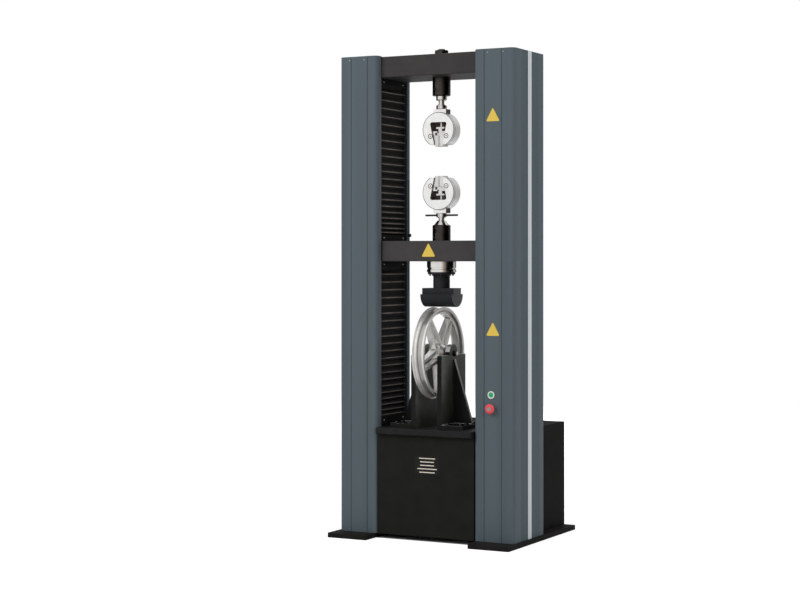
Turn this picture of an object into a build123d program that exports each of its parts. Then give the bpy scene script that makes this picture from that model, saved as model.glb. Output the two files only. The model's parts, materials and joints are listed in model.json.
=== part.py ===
from build123d import *
import math
import os

# A two-column machine that presses on a wheel clamped by its axle, with wedge grips above the crosshead.
# +X runs to the right, +Y to the back, +Z up. The origin is on the floor, midway between the columns.
# All sizes are millimetres.

# Fits and clearances
BORE_FIT = 0.05
FACE_GAP = 0.3
COVER_GAP = 0.5

# Foot plates and legs
FOOT_THICKNESS = 25
FOOT_INNER_INSET = 14.2
FOOT_OUTER_REACH = 14.4
FOOT_FRONT_REACH = 101.5
FOOT_BACK_INSET = 5
ANCHOR_OUTER_INSET = 30
ANCHOR_FRONT_INSET = 40
ANCHOR_HOLE_RADIUS = 7
LEG_INNER_REACH = 61
LEG_OUTER_REACH = 89
LEG_THICKNESS = 30

# Column covers
CLEAR_HALF_WIDTH = 279.8
COLUMN_WIDTH = 225.8
COLUMN_WALL = 6
COLUMN_CORNER_RADIUS = 25
OPENING_GAP = 8
OPENING_MARGIN = 45.5
SIDE_PANEL_WIDTH = 220
GROOVE_WIDTH = 8
GROOVE_DEPTH = 3.5
GROOVE_INNER_OFFSET = -54
GROOVE_OUTER_OFFSET = 42.8
INSERT_WIDTH = 49
INSERT_DEPTH = 3
CAP_THICKNESS = 4

# Beams, posts and screws
TOP_BEAM_HEIGHT = 109
BEAM_PROUD = 4
BEAM_END_MARGIN = 10
BEAM_END_REACH = 69
BEAM_EDGE = 5
LOWER_BEAM_HEIGHT = 110
POST_OFFSET = 1.7
POST_RADIUS = 25
SCREW_RADIUS = 20
SCREW_LOWER_JOURNAL_RADIUS = 15
SCREW_UPPER_JOURNAL_RADIUS = 12.5
SCREW_END_GAP = 6
SCREW_TAIL_PROUD = 6
LOWER_BEARING_RADIUS = 40
LOWER_BEARING_FLANGE_RADIUS = 55
UPPER_BEARING_RADIUS = 30
UPPER_BEARING_FLANGE_RADIUS = 42
UPPER_BEARING_DEPTH = 45
BEARING_FLANGE = 10

# Crosshead
CROSSHEAD_HEIGHT = 107
CROSSHEAD_SIDE_GAP = 7.8
CROSSHEAD_END_REACH = 61
CROSSHEAD_END_MARGIN = 8
BALL_NUT_RADIUS = 31.5
BALL_NUT_FLANGE_RADIUS = 46.5
BALL_NUT_FLANGE = 14
BALL_NUT_LENGTH = 114
BUSH_RADIUS = 38
BUSH_PROUD = 6
NUT_TO_BUSH = 7.5

# Bellows and their end brackets
BELLOWS_SIDE_INSET = 3
BELLOWS_FOLD_DEPTH = 12
BELLOWS_SHEET = 3
UPPER_BELLOWS_FOLDS = 27
LOWER_BELLOWS_FOLDS = 36
BRACKET_SHEET = 4
BRACKET_WALL_GAP = 0.2
BRACKET_FOOT = 26
MOVING_BRACKET_HEIGHT = 31
TOP_BRACKET_HEIGHT = 32
TABLE_BRACKET_SHOWN = 55

# Work table, front panel and rear cabinet
TABLE_THICKNESS = 34
TABLE_SIDE_GAP = 3.3
TABLE_OVERHANG = 24.5
TABLE_EDGE = 4
SHEET = 3
PANEL_SETBACK = 3.5
CABINET_HALF_WIDTH = 455
CABINET_DEPTH = 383
VENT_COUNT = 7
VENT_LENGTH = 180
VENT_HEIGHT = 8
VENT_PITCH = 22
VENT_Z = 300

# Drive
MOTOR_REACH = 160
MOTOR_FLOOR_GAP = 65
MOTOR_SIDE = 130
MOTOR_HEIGHT = 240
MOTOR_CORNER_RADIUS = 12
MOTOR_SHAFT_RADIUS = 12
MOTOR_SHAFT_INSET = 30
MOTOR_PLATE_THICKNESS = 12
MOTOR_PLATE_HALF_WIDTH = 90
MOTOR_PLATE_MARGIN = 72
MOTOR_RIB_HEIGHT = 110
SCREW_PULLEY_RADIUS = 38
MOTOR_PULLEY_RADIUS = 30
PULLEY_RISE = 26
PULLEY_HEIGHT = 40
PULLEY_TO_BEAM = 40
PULLEY_RIM = 3
PULLEY_RIM_STEP = 4
BELT_THICKNESS = 3
DRIVE_BOX_SIDE_GAP = 75
DRIVE_BOX_WIDTH = 200
DRIVE_BOX_DEPTH = 140
DRIVE_BOX_BOTTOM = 120
DRIVE_BOX_HEIGHT = 330

# Buttons on the front of the right column
BUTTON_OFFSET = 13.7
START_BUTTON_Z = 771
BUTTON_PITCH = 70
BUTTON_EDGE = 1
BEZEL_RADIUS = 19.5
BEZEL_HEIGHT = 5
START_CAP_RADIUS = 12.5
START_CAP_PROUD = 3
START_TRAVEL = 2.5
SWITCH_RADIUS = 10.9
SWITCH_LENGTH = 36
STEM_RADIUS = 6
STEM_LENGTH = 22
STOP_COLLAR_RADIUS = 16
STOP_COLLAR_HEIGHT = 11
STOP_HEAD_RADIUS = 26
STOP_HEAD_HEIGHT = 15
STOP_HEAD_EDGE = 5
STOP_HEAD_CROWN = 3
STOP_GAP = 1
STOP_CENTRE_RADIUS = 10.5
STOP_TRAVEL = 5

# Limit stop on the left column
STOP_KNOB_RADIUS = 9
STOP_KNOB_LENGTH = 12
STOP_KNOB_INSET = 15
STOP_KNOB_RISE = 33
STOP_KNOB_EDGE = 1
STOP_STEM_RADIUS = 3.6
STOP_SLOT_WIDTH = 8
STOP_SLOT_HALF_LENGTH = 300
STOP_NUT_HALF_HEIGHT = 12
STOP_NUT_HALF_WIDTH = 8
STOP_NUT_THICKNESS = 6

# Wedge grips, drawn about the grip's centre with the neck up and the mouth down
JAW_SPACE = 155
GRIP_RADIUS = 91.5
GRIP_HALF_DEPTH = 39
GRIP_PLATE = 14
GRIP_GROOVE = 2
GRIP_GROOVE_DEPTH = 6
MOUTH_DROP = 78
WEDGE_ANGLE = 12
CHANNEL_MOUTH_HALF_WIDTH = 24.5
CHANNEL_TOP = 39
CHANNEL_CORNER_RADIUS = 10
POCKET_STEP = 4
POCKET_TOP = 44
POCKET_BACK_Y = 24
PLATE_SCREW_X = 46
PLATE_SCREW_DROP = 34
PLATE_SCREW_HEAD_RADIUS = 10
PLATE_SCREW_PROUD = 1
PLATE_SCREW_RADIUS = 5
PLATE_SCREW_LENGTH = 22
NECK_WIDTH = 75
NECK_DEPTH = 53
NECK_TOP = 108
JAW_GAP = 3
JAW_PROUD = 9
JAW_RECESS = 9
JAW_SOLID_TOP = -30
JAW_TOP = -8
JAW_HOOK_HEIGHT = 8
JAW_HOOK_X = 13
JAW_NECK_X = 24
JAW_SLIDE_GAP = 0.15
CARRIER_HEAD_HALF_WIDTH = 20
CARRIER_BAR_HALF_WIDTH = 24
CARRIER_BAR_BOTTOM = 6
CARRIER_BAR_HEIGHT = 9
CARRIER_NECK_HALF_WIDTH = 10.5
CARRIER_HALF_DEPTH = 15
CARRIER_ROD_RADIUS = 8
CARRIER_EDGE = 2
KEY_HEIGHT = 5
KEY_WIDTH = 8
KEY_Z = 115.5
COLLAR_RADIUS = 28
COLLAR_HEIGHT = 21
COLLAR_LIP = 2
COLLAR_RECESS_RADIUS = 20
COLLAR_EDGE = 2
TOMMY_RADIUS = 5
TOMMY_REACH = 94
TOMMY_HOLE_INSET = 7
SPINDLE_RADIUS = 15
SPINDLE_FLANGE_RADIUS = 18.5
SPINDLE_FLANGE = 4
SPINDLE_SEAT = 24
KEY_SLOT_MARGIN = 0.6
JAW_OPENING_TRAVEL = 8
JAW_CLOSING_TRAVEL = 2

# Adapters and lock nuts
ADAPTER_RADIUS = 47.5
ADAPTER_EDGE = 3
UPPER_ADAPTER_HEIGHT = 96
LOWER_ADAPTER_HEIGHT = 84
ADAPTER_SEAT = 70
UPPER_PIN_DROP = 63
LOWER_PIN_RISE = 51
UPPER_PIN_RADIUS = 8
LOWER_PIN_RADIUS = 11
PIN_TURN = 20
LOWER_PIN_INSET = 6
UPPER_NUT_RADIUS = 28.5
UPPER_NUT_HEIGHT = 24
UPPER_SPINDLE_SHOWN = 25.7
LOWER_SPINDLE_SHOWN = 17.7
LOWER_NUT_TOP_RADIUS = 22
LOWER_NUT_BOTTOM_RADIUS = 39
LOWER_NUT_HEIGHT = 23
SPIGOT_RADIUS = 20
SPIGOT_LENGTH = 45
DRAW_BOLT_RADIUS = 17.5
DRAW_BOLT_SEAT = 20
DRAW_BOLT_PROUD = 40
BEAM_NUT_RADIUS = 39.5
BEAM_NUT_HEIGHT = 34
BEAM_NUT_EDGE = 6

# Load cell and indenter
LOAD_CELL_RADIUS = 77
LOAD_CELL_HEIGHT = 56.4
LOAD_CELL_GROOVE_DEPTH = 4
LOAD_CELL_GROOVE_HEIGHT = 9
LOAD_CELL_RIM = 14
FLANGE_RADIUS = 72
FLANGE_HEIGHT = 11.6
INDENTER_STEM_RADIUS = 44
INDENTER_STEM_HEIGHT = 72
STEM_FLARE = 6
INDENTER_LENGTH = 184
INDENTER_BLOCK_DEPTH = 90
INDENTER_BLOCK_HEIGHT = 32
INDENTER_ROUND_RADIUS = 67

# Wheel, its axle and supports
AXLE_X = -18
AXLE_RISE = 365
PRESS_GAP = 1.5
AXLE_RADIUS = 10
AXLE_NUT_RADIUS = 17
AXLE_NUT_HEIGHT = 16
AXLE_END_PROUD = 5
RIM_RADIUS = 241.5
RIM_HALF_WIDTH = 33.5
RIM_LIP = 4
BEAD_SEAT_DROP = 10.5
BEAD_SEAT_SLOPE = 2
BEAD_SEAT_RISE = 1
BEAD_SEAT_WIDTH = 16.5
WELL_WALL_WIDTH = 7
WELL_DROP = 24.5
WELL_THICKNESS = 9
RIM_EDGE_THICKNESS = 15
RIM_FLANK = 4
HUB_RADIUS = 47.5
HUB_HALF_WIDTH = 27
HUB_BOSS_RADIUS = 35
HUB_BOSS_HALF_WIDTH = 42
HUB_BORE_RADIUS = 14
WHEEL_BEARING_RADIUS = 23.5
WHEEL_BEARING_WIDTH = 14
SPOKE_PAIRS = 5
SPOKE_HUB_SPACING = 56
SPOKE_RIM_SPACING = 40
SPOKE_START = 30
SPOKE_ROOT = 5
SPOKE_HUB_WIDTH = 19
SPOKE_RIM_WIDTH = 14
SPOKE_HUB_DEPTH = 40
SPOKE_RIM_DEPTH = 24
SPOKE_EDGE = 4
RIM_TO_SUPPORT = 29.5
SUPPORT_THICKNESS = 26
SUPPORT_HALF_DEPTH = 141
SUPPORT_TOP_DROP = 7
SUPPORT_DOME_RADIUS = 48
SUPPORT_BASE_THICKNESS = 20
SUPPORT_BASE_REACH = 122
GUSSET_THICKNESS = 20
GUSSET_TOP_DROP = 30
GUSSET_TOE = 8
GUSSET_END_INSET = 12
SPACER_RADIUS = 15
BASE_BOLT_RADIUS = 7
BASE_BOLT_HEAD_RADIUS = 12
BASE_BOLT_HEAD = 9
BASE_BOLT_SEAT = 28
BASE_BOLT_INSET = 24
BASE_BOLT_END_INSET = 29
BASE_BOLT_INNER_Y = 46

# Places in plan, from the crosshead's guides outward
POST_Y = BALL_NUT_FLANGE_RADIUS + NUT_TO_BUSH + BUSH_RADIUS
BEAM_END_DEPTH = 2 * (POST_Y + BUSH_RADIUS + BEAM_END_MARGIN)
CROSSHEAD_END_DEPTH = 2 * (POST_Y + BUSH_RADIUS + CROSSHEAD_END_MARGIN)
COLUMN_OPENING = BEAM_END_DEPTH + 2 * OPENING_GAP
BEAM_DEPTH = COLUMN_OPENING + 2 * BEAM_PROUD
COLUMN_DEPTH = COLUMN_OPENING + 2 * OPENING_MARGIN
COLUMN_FRONT_Y = -COLUMN_DEPTH / 2
COLUMN_BACK_Y = COLUMN_DEPTH / 2
COLUMN_IN = CLEAR_HALF_WIDTH
COLUMN_OUT = COLUMN_IN + COLUMN_WIDTH
COLUMN_X = (COLUMN_IN + COLUMN_OUT) / 2
POST_X = COLUMN_X - POST_OFFSET
BEAM_END_X = POST_X + BEAM_END_REACH
CROSSHEAD_END_X = POST_X + CROSSHEAD_END_REACH
CROSSHEAD_HALF_WIDTH = COLUMN_IN - CROSSHEAD_SIDE_GAP
LEG_INNER_X = POST_X - LEG_INNER_REACH
LEG_OUTER_X = POST_X + LEG_OUTER_REACH
BRACKET_HALF_WIDTH = BEAM_END_DEPTH / 2
BELLOWS_HALF_WIDTH = BRACKET_HALF_WIDTH - BELLOWS_SIDE_INSET
BELLOWS_X = COLUMN_IN + COLUMN_WALL + BRACKET_WALL_GAP + BRACKET_SHEET
TABLE_HALF_WIDTH = COLUMN_IN - TABLE_SIDE_GAP
TABLE_FRONT_Y = COLUMN_FRONT_Y - TABLE_OVERHANG
CABINET_FRONT_Y = COLUMN_BACK_Y + COVER_GAP
CABINET_BACK_Y = CABINET_FRONT_Y + CABINET_DEPTH
FOOT_INNER_X = COLUMN_IN + FOOT_INNER_INSET
FOOT_OUTER_X = COLUMN_OUT + FOOT_OUTER_REACH
FOOT_FRONT_Y = COLUMN_FRONT_Y - FOOT_FRONT_REACH
FOOT_BACK_Y = CABINET_BACK_Y - FOOT_BACK_INSET
ANCHOR_X = FOOT_OUTER_X - ANCHOR_OUTER_INSET
ANCHOR_Y = -FOOT_FRONT_Y - ANCHOR_FRONT_INSET
MOTOR_Y = BEAM_END_DEPTH / 2 + MOTOR_REACH
MOTOR_PLATE_BACK_Y = MOTOR_Y + MOTOR_PLATE_MARGIN
DRIVE_BOX_X = CABINET_HALF_WIDTH - DRIVE_BOX_SIDE_GAP - DRIVE_BOX_WIDTH
BUTTON_X = COLUMN_X - BUTTON_OFFSET
STOP_BUTTON_Z = START_BUTTON_Z - BUTTON_PITCH
STOP_KNOB_Y = COLUMN_OPENING / 2 + STOP_KNOB_INSET

# Heights, from the floor up: the drive, the table, the wheel, the crosshead, the grips, the top beam
MOTOR_BOTTOM = FOOT_THICKNESS + MOTOR_FLOOR_GAP
MOTOR_PLATE_Z = MOTOR_BOTTOM + MOTOR_HEIGHT
PULLEY_BOTTOM = MOTOR_PLATE_Z + PULLEY_RISE
LOWER_BEAM_BOTTOM = PULLEY_BOTTOM + PULLEY_HEIGHT + PULLEY_TO_BEAM
LOWER_BEAM_TOP = LOWER_BEAM_BOTTOM + LOWER_BEAM_HEIGHT
TABLE_TOP = LOWER_BEAM_TOP + TABLE_THICKNESS
SUPPORT_BASE_TOP = TABLE_TOP + SUPPORT_BASE_THICKNESS
AXLE_Z = SUPPORT_BASE_TOP + AXLE_RISE
INDENTER_TOP = AXLE_Z + RIM_RADIUS + PRESS_GAP + INDENTER_ROUND_RADIUS + INDENTER_BLOCK_HEIGHT
FLANGE_BOTTOM = INDENTER_TOP + INDENTER_STEM_HEIGHT
LOAD_CELL_BOTTOM = FLANGE_BOTTOM + FLANGE_HEIGHT
CROSSHEAD_BOTTOM = LOAD_CELL_BOTTOM + LOAD_CELL_HEIGHT
CROSSHEAD_TOP = CROSSHEAD_BOTTOM + CROSSHEAD_HEIGHT
STOP_KNOB_Z = CROSSHEAD_TOP + STOP_KNOB_RISE
LOWER_ADAPTER_TOP = CROSSHEAD_TOP + LOWER_ADAPTER_HEIGHT
COLLAR_TOP = NECK_TOP + COLLAR_HEIGHT
JAW_TIP = -MOUTH_DROP - JAW_PROUD
LOWER_GRIP_Z = LOWER_ADAPTER_TOP + LOWER_NUT_HEIGHT + LOWER_SPINDLE_SHOWN + COLLAR_TOP + FACE_GAP
UPPER_GRIP_Z = LOWER_GRIP_Z + JAW_SPACE - 2 * JAW_TIP
UPPER_ADAPTER_BOTTOM = UPPER_GRIP_Z + COLLAR_TOP + FACE_GAP + UPPER_SPINDLE_SHOWN + UPPER_NUT_HEIGHT
TOP_BEAM_BOTTOM = UPPER_ADAPTER_BOTTOM + UPPER_ADAPTER_HEIGHT
TOP_BEAM_TOP = TOP_BEAM_BOTTOM + TOP_BEAM_HEIGHT
COLUMN_TOP = TOP_BEAM_TOP + CAP_THICKNESS
COLUMN_HEIGHT = COLUMN_TOP - FOOT_THICKNESS

# Places on the wheel, its supports and the jaws
SUPPORT_INNER_X = RIM_HALF_WIDTH + RIM_TO_SUPPORT
SUPPORT_OUTER_X = SUPPORT_INNER_X + SUPPORT_THICKNESS
SUPPORT_TOP = AXLE_Z - SUPPORT_TOP_DROP
GUSSET_TOP = AXLE_Z - GUSSET_TOP_DROP
BASE_BOLT_OUTER_Y = SUPPORT_HALF_DEPTH - BASE_BOLT_END_INSET
RIM_INNER_RADIUS = RIM_RADIUS - WELL_DROP - WELL_THICKNESS
SPOKE_END = RIM_INNER_RADIUS + SPOKE_ROOT
WEDGE_SLOPE = math.tan(math.radians(WEDGE_ANGLE))


def block(x0, x1, y0, y1, z0, z1):
    """A box between two corners."""
    centre = Pos((x0 + x1) / 2, (y0 + y1) / 2, (z0 + z1) / 2)
    return centre * Box(x1 - x0, y1 - y0, z1 - z0)


def upright_rod(radius, z0, z1, x=0, y=0):
    """A cylinder along Z."""
    return Pos(x, y, (z0 + z1) / 2) * Cylinder(radius, z1 - z0)


def cross_rod(radius, x0, x1, y=0, z=0):
    """A cylinder along X."""
    return Pos((x0 + x1) / 2, y, z) * Rot(0, 90, 0) * Cylinder(radius, x1 - x0)


def front_rod(radius, y0, y1, x=0, z=0):
    """A cylinder along Y."""
    return Pos(x, (y0 + y1) / 2, z) * Rot(90, 0, 0) * Cylinder(radius, y1 - y0)


def front_slab(points, y0, y1):
    """A plate with an outline in X and Z, from y0 back to y1."""
    outline = make_face(Polyline([(x, 0, z) for x, z in points], close=True))
    return Pos(0, y0, 0) * extrude(outline, amount=y1 - y0, dir=(0, 1, 0))


def edges_along(shape, axis):
    """The straight edges that run along an axis."""
    return shape.edges().filter_by(axis)


def mirror_x(shape):
    """The same piece on the other side of the machine."""
    return mirror(shape, about=Plane.YZ)


def both_sides(shape):
    """A piece and its mirror image."""
    return [shape, mirror_x(shape)]


def save(node, *pieces):
    """Write one node as a group of separate solids."""
    solids = [solid for piece in pieces for solid in piece.solids()]
    export_step(Compound(children=solids), f"parts/{node}.step")


def base_frame():
    """One foot plate with the two leg plates that carry the lower beam."""
    foot = block(FOOT_INNER_X, FOOT_OUTER_X, FOOT_FRONT_Y, FOOT_BACK_Y, 0, FOOT_THICKNESS)
    for y in (-ANCHOR_Y, ANCHOR_Y):
        foot -= upright_rod(ANCHOR_HOLE_RADIUS, 0, FOOT_THICKNESS, ANCHOR_X, y)
    leg_back = BEAM_END_DEPTH / 2
    leg = block(LEG_INNER_X, LEG_OUTER_X, leg_back - LEG_THICKNESS, leg_back,
                FOOT_THICKNESS, LOWER_BEAM_BOTTOM)
    return foot + leg + mirror(leg, about=Plane.XZ)


def post_places():
    """Where the four guide posts stand."""
    return [(x, y) for x in (-POST_X, POST_X) for y in (-POST_Y, POST_Y)]


def drill_posts(beam, z0, z1, radius):
    """Open the four post holes through a beam."""
    for x, y in post_places():
        beam -= upright_rod(radius, z0, z1, x, y)
    return beam


def drill_screws(beam, z0, z1, radius):
    """Open the two screw holes through a beam."""
    for x in (-POST_X, POST_X):
        beam -= upright_rod(radius, z0, z1, x)
    return beam


def lower_beam():
    """The fixed beam under the work table."""
    half = BEAM_END_DEPTH / 2
    beam = block(-BEAM_END_X, BEAM_END_X, -half, half, LOWER_BEAM_BOTTOM, LOWER_BEAM_TOP)
    beam = chamfer(edges_along(beam, Axis.X), BEAM_EDGE)
    beam = drill_posts(beam, LOWER_BEAM_BOTTOM, LOWER_BEAM_TOP, POST_RADIUS + BORE_FIT)
    return drill_screws(beam, LOWER_BEAM_BOTTOM, LOWER_BEAM_TOP, LOWER_BEARING_RADIUS + BORE_FIT)


def top_beam():
    """The fixed beam between the column tops, with ends that reach into the columns."""
    middle = block(COVER_GAP - COLUMN_IN, COLUMN_IN - COVER_GAP, -BEAM_DEPTH / 2, BEAM_DEPTH / 2,
                   TOP_BEAM_BOTTOM, TOP_BEAM_TOP)
    middle = fillet(edges_along(middle, Axis.X), BEAM_EDGE)
    ends = block(-BEAM_END_X, BEAM_END_X, -BEAM_END_DEPTH / 2, BEAM_END_DEPTH / 2,
                 TOP_BEAM_BOTTOM, TOP_BEAM_TOP)
    beam = drill_posts(middle + ends, TOP_BEAM_BOTTOM, TOP_BEAM_TOP, POST_RADIUS + BORE_FIT)
    bearing_top = TOP_BEAM_BOTTOM + UPPER_BEARING_DEPTH
    beam = drill_screws(beam, TOP_BEAM_BOTTOM, bearing_top, UPPER_BEARING_RADIUS + BORE_FIT)
    return beam - upright_rod(DRAW_BOLT_RADIUS + BORE_FIT, TOP_BEAM_BOTTOM, TOP_BEAM_TOP)


def guide_posts():
    """Four ground posts between the lower and top beams."""
    return [upright_rod(POST_RADIUS, LOWER_BEAM_BOTTOM, TOP_BEAM_TOP, x, y) for x, y in post_places()]


def screw_bearings():
    """Flanged bearing units for the ends of the right screw."""
    flange_z = LOWER_BEAM_BOTTOM - BEARING_FLANGE
    lower = upright_rod(LOWER_BEARING_RADIUS, flange_z, LOWER_BEAM_TOP, POST_X)
    lower += upright_rod(LOWER_BEARING_FLANGE_RADIUS, flange_z, LOWER_BEAM_BOTTOM, POST_X)
    lower -= upright_rod(SCREW_LOWER_JOURNAL_RADIUS + BORE_FIT, flange_z, LOWER_BEAM_TOP, POST_X)
    flange_z = TOP_BEAM_BOTTOM - BEARING_FLANGE
    bearing_top = TOP_BEAM_BOTTOM + UPPER_BEARING_DEPTH
    upper = upright_rod(UPPER_BEARING_RADIUS, flange_z, bearing_top, POST_X)
    upper += upright_rod(UPPER_BEARING_FLANGE_RADIUS, flange_z, TOP_BEAM_BOTTOM, POST_X)
    upper -= upright_rod(SCREW_UPPER_JOURNAL_RADIUS + BORE_FIT, flange_z, bearing_top, POST_X)
    return lower + upper


def pulley(radius, x, y):
    """A belt pulley with a rim at each end."""
    top = PULLEY_BOTTOM + PULLEY_HEIGHT
    wheel = upright_rod(radius, PULLEY_BOTTOM, top, x, y)
    rim_radius = radius + PULLEY_RIM_STEP
    wheel += upright_rod(rim_radius, PULLEY_BOTTOM, PULLEY_BOTTOM + PULLEY_RIM, x, y)
    return wheel + upright_rod(rim_radius, top - PULLEY_RIM, top, x, y)


def ball_screw():
    """The right screw with its journals and its pulley."""
    start = LOWER_BEAM_TOP + SCREW_END_GAP
    end = TOP_BEAM_BOTTOM - BEARING_FLANGE - SCREW_END_GAP
    screw = upright_rod(SCREW_RADIUS, start, end, POST_X)
    screw += upright_rod(SCREW_LOWER_JOURNAL_RADIUS, PULLEY_BOTTOM - SCREW_TAIL_PROUD, start, POST_X)
    upper_end = TOP_BEAM_BOTTOM + UPPER_BEARING_DEPTH - SCREW_END_GAP
    screw += upright_rod(SCREW_UPPER_JOURNAL_RADIUS, end, upper_end, POST_X)
    return screw + pulley(SCREW_PULLEY_RADIUS, POST_X, 0)


def motor():
    """The upright drive motor under its plate."""
    half = MOTOR_SIDE / 2
    body = block(-half, half, MOTOR_Y - half, MOTOR_Y + half, MOTOR_PLATE_Z - MOTOR_HEIGHT, MOTOR_PLATE_Z)
    body = fillet(edges_along(body, Axis.Z), MOTOR_CORNER_RADIUS)
    bore_radius = MOTOR_SHAFT_RADIUS + BORE_FIT
    return body - upright_rod(bore_radius, MOTOR_PLATE_Z - MOTOR_SHAFT_INSET, MOTOR_PLATE_Z, 0, MOTOR_Y)


def motor_rotor():
    """The motor's shaft with the driving pulley."""
    shaft_bottom = MOTOR_PLATE_Z - MOTOR_SHAFT_INSET + FACE_GAP
    shaft = upright_rod(MOTOR_SHAFT_RADIUS, shaft_bottom, PULLEY_BOTTOM + PULLEY_HEIGHT, 0, MOTOR_Y)
    return shaft + pulley(MOTOR_PULLEY_RADIUS, 0, MOTOR_Y)


def motor_bracket():
    """An angle on the back of the lower beam that holds the motor, with two ribs."""
    beam_back = BEAM_END_DEPTH / 2
    plate_top = MOTOR_PLATE_Z + MOTOR_PLATE_THICKNESS
    half = MOTOR_PLATE_HALF_WIDTH
    plate = block(-half, half, beam_back, MOTOR_PLATE_BACK_Y, MOTOR_PLATE_Z, plate_top)
    plate -= upright_rod(MOTOR_PULLEY_RADIUS, MOTOR_PLATE_Z, plate_top, 0, MOTOR_Y)
    wall_back = beam_back + MOTOR_PLATE_THICKNESS
    rib_bottom = MOTOR_PLATE_Z - MOTOR_RIB_HEIGHT
    wall = block(-half, half, beam_back, wall_back, rib_bottom, LOWER_BEAM_TOP - BEAM_EDGE)
    rib_points = [(wall_back, MOTOR_PLATE_Z), (MOTOR_PLATE_BACK_Y, MOTOR_PLATE_Z), (wall_back, rib_bottom)]
    rib_face = make_face(Polyline([(0, y, z) for y, z in rib_points], close=True))
    rib = Pos(half - MOTOR_PLATE_THICKNESS, 0, 0) * extrude(rib_face, amount=MOTOR_PLATE_THICKNESS,
                                                            dir=(1, 0, 0))
    return plate + wall + rib + mirror_x(rib)


def drive_belt():
    """The timing belt round the two screw pulleys and the motor's pulley."""
    def loop(offset):
        circles = [Pos(-POST_X, 0) * Circle(SCREW_PULLEY_RADIUS + offset),
                   Pos(POST_X, 0) * Circle(SCREW_PULLEY_RADIUS + offset),
                   Pos(0, MOTOR_Y) * Circle(MOTOR_PULLEY_RADIUS + offset)]
        return make_hull([edge for circle in circles for edge in circle.edges()])
    ring = loop(FACE_GAP + BELT_THICKNESS) - loop(FACE_GAP)
    width = PULLEY_HEIGHT - 2 * PULLEY_RIM - 2 * FACE_GAP
    return Pos(0, 0, PULLEY_BOTTOM + PULLEY_RIM + FACE_GAP) * extrude(ring, amount=width)


def drive_box():
    """The drive's electronics on the inside of the cabinet's back wall."""
    back = CABINET_BACK_Y - SHEET
    return block(DRIVE_BOX_X, DRIVE_BOX_X + DRIVE_BOX_WIDTH, back - DRIVE_BOX_DEPTH, back,
                 DRIVE_BOX_BOTTOM, DRIVE_BOX_BOTTOM + DRIVE_BOX_HEIGHT)


def column_ring(half):
    """The right column's wall in plan, cut down to its front or back profile."""
    inner_radius = COLUMN_CORNER_RADIUS - COLUMN_WALL
    ring = RectangleRounded(COLUMN_WIDTH, COLUMN_DEPTH, COLUMN_CORNER_RADIUS)
    ring -= RectangleRounded(COLUMN_WIDTH - 2 * COLUMN_WALL, COLUMN_DEPTH - 2 * COLUMN_WALL, inner_radius)
    ring -= Pos(-COLUMN_WIDTH / 2, 0) * Rectangle(4 * COLUMN_WALL, COLUMN_OPENING)
    ring -= Pos(COLUMN_WIDTH / 2, 0) * Rectangle(4 * COLUMN_WALL, SIDE_PANEL_WIDTH)
    for x in (GROOVE_INNER_OFFSET, GROOVE_OUTER_OFFSET):
        corners = [(x - GROOVE_WIDTH / 2, -COLUMN_DEPTH / 2), (x + GROOVE_WIDTH / 2, -COLUMN_DEPTH / 2),
                   (x, GROOVE_DEPTH - COLUMN_DEPTH / 2)]
        ring -= make_face(Polyline(corners, close=True))
    kept = ring & Pos(0, half * COLUMN_DEPTH / 2) * Rectangle(2 * COLUMN_WIDTH, COLUMN_DEPTH)
    return Pos(COLUMN_X, 0, FOOT_THICKNESS) * extrude(kept, amount=COLUMN_HEIGHT)


def column_front_covers():
    """The front profiles; the right one has two round holes for the buttons."""
    right = column_ring(-1)
    left = mirror_x(right)
    for z in (START_BUTTON_Z, STOP_BUTTON_Z):
        hole_back = COLUMN_FRONT_Y + 2 * COLUMN_WALL
        right -= front_rod(SWITCH_RADIUS + FACE_GAP, COLUMN_FRONT_Y, hole_back, BUTTON_X, z)
    return [left, right]


def column_rear_covers():
    """The rear profiles; the left one has the limit stop's slot in its inner flange."""
    right = column_ring(1)
    left = mirror_x(right)
    half_width = STOP_SLOT_WIDTH / 2
    left -= block(-COLUMN_IN - COLUMN_WALL, -COLUMN_IN, STOP_KNOB_Y - half_width, STOP_KNOB_Y + half_width,
                  STOP_KNOB_Z - STOP_SLOT_HALF_LENGTH, STOP_KNOB_Z + STOP_SLOT_HALF_LENGTH)
    return [left, right]


def column_side_panel():
    """The right column's outer panel, with a channel for the pale strip."""
    half = SIDE_PANEL_WIDTH / 2 - FACE_GAP
    panel = block(COLUMN_OUT - COLUMN_WALL, COLUMN_OUT, -half, half, FOOT_THICKNESS, COLUMN_TOP)
    channel = INSERT_WIDTH / 2 + FACE_GAP
    return panel - block(COLUMN_OUT - INSERT_DEPTH, COLUMN_OUT, -channel, channel,
                         FOOT_THICKNESS, COLUMN_TOP)


def column_insert():
    """The pale strip in the right column's outer panel."""
    return block(COLUMN_OUT - INSERT_DEPTH, COLUMN_OUT, -INSERT_WIDTH / 2, INSERT_WIDTH / 2,
                 FOOT_THICKNESS, COLUMN_TOP)


def column_cap():
    """The plate that closes the right column's top."""
    inset = 2 * (COLUMN_WALL + FACE_GAP)
    radius = COLUMN_CORNER_RADIUS - COLUMN_WALL
    plate = RectangleRounded(COLUMN_WIDTH - inset, COLUMN_DEPTH - inset, radius)
    return Pos(COLUMN_X, 0, TOP_BEAM_TOP) * extrude(plate, amount=CAP_THICKNESS)


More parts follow.
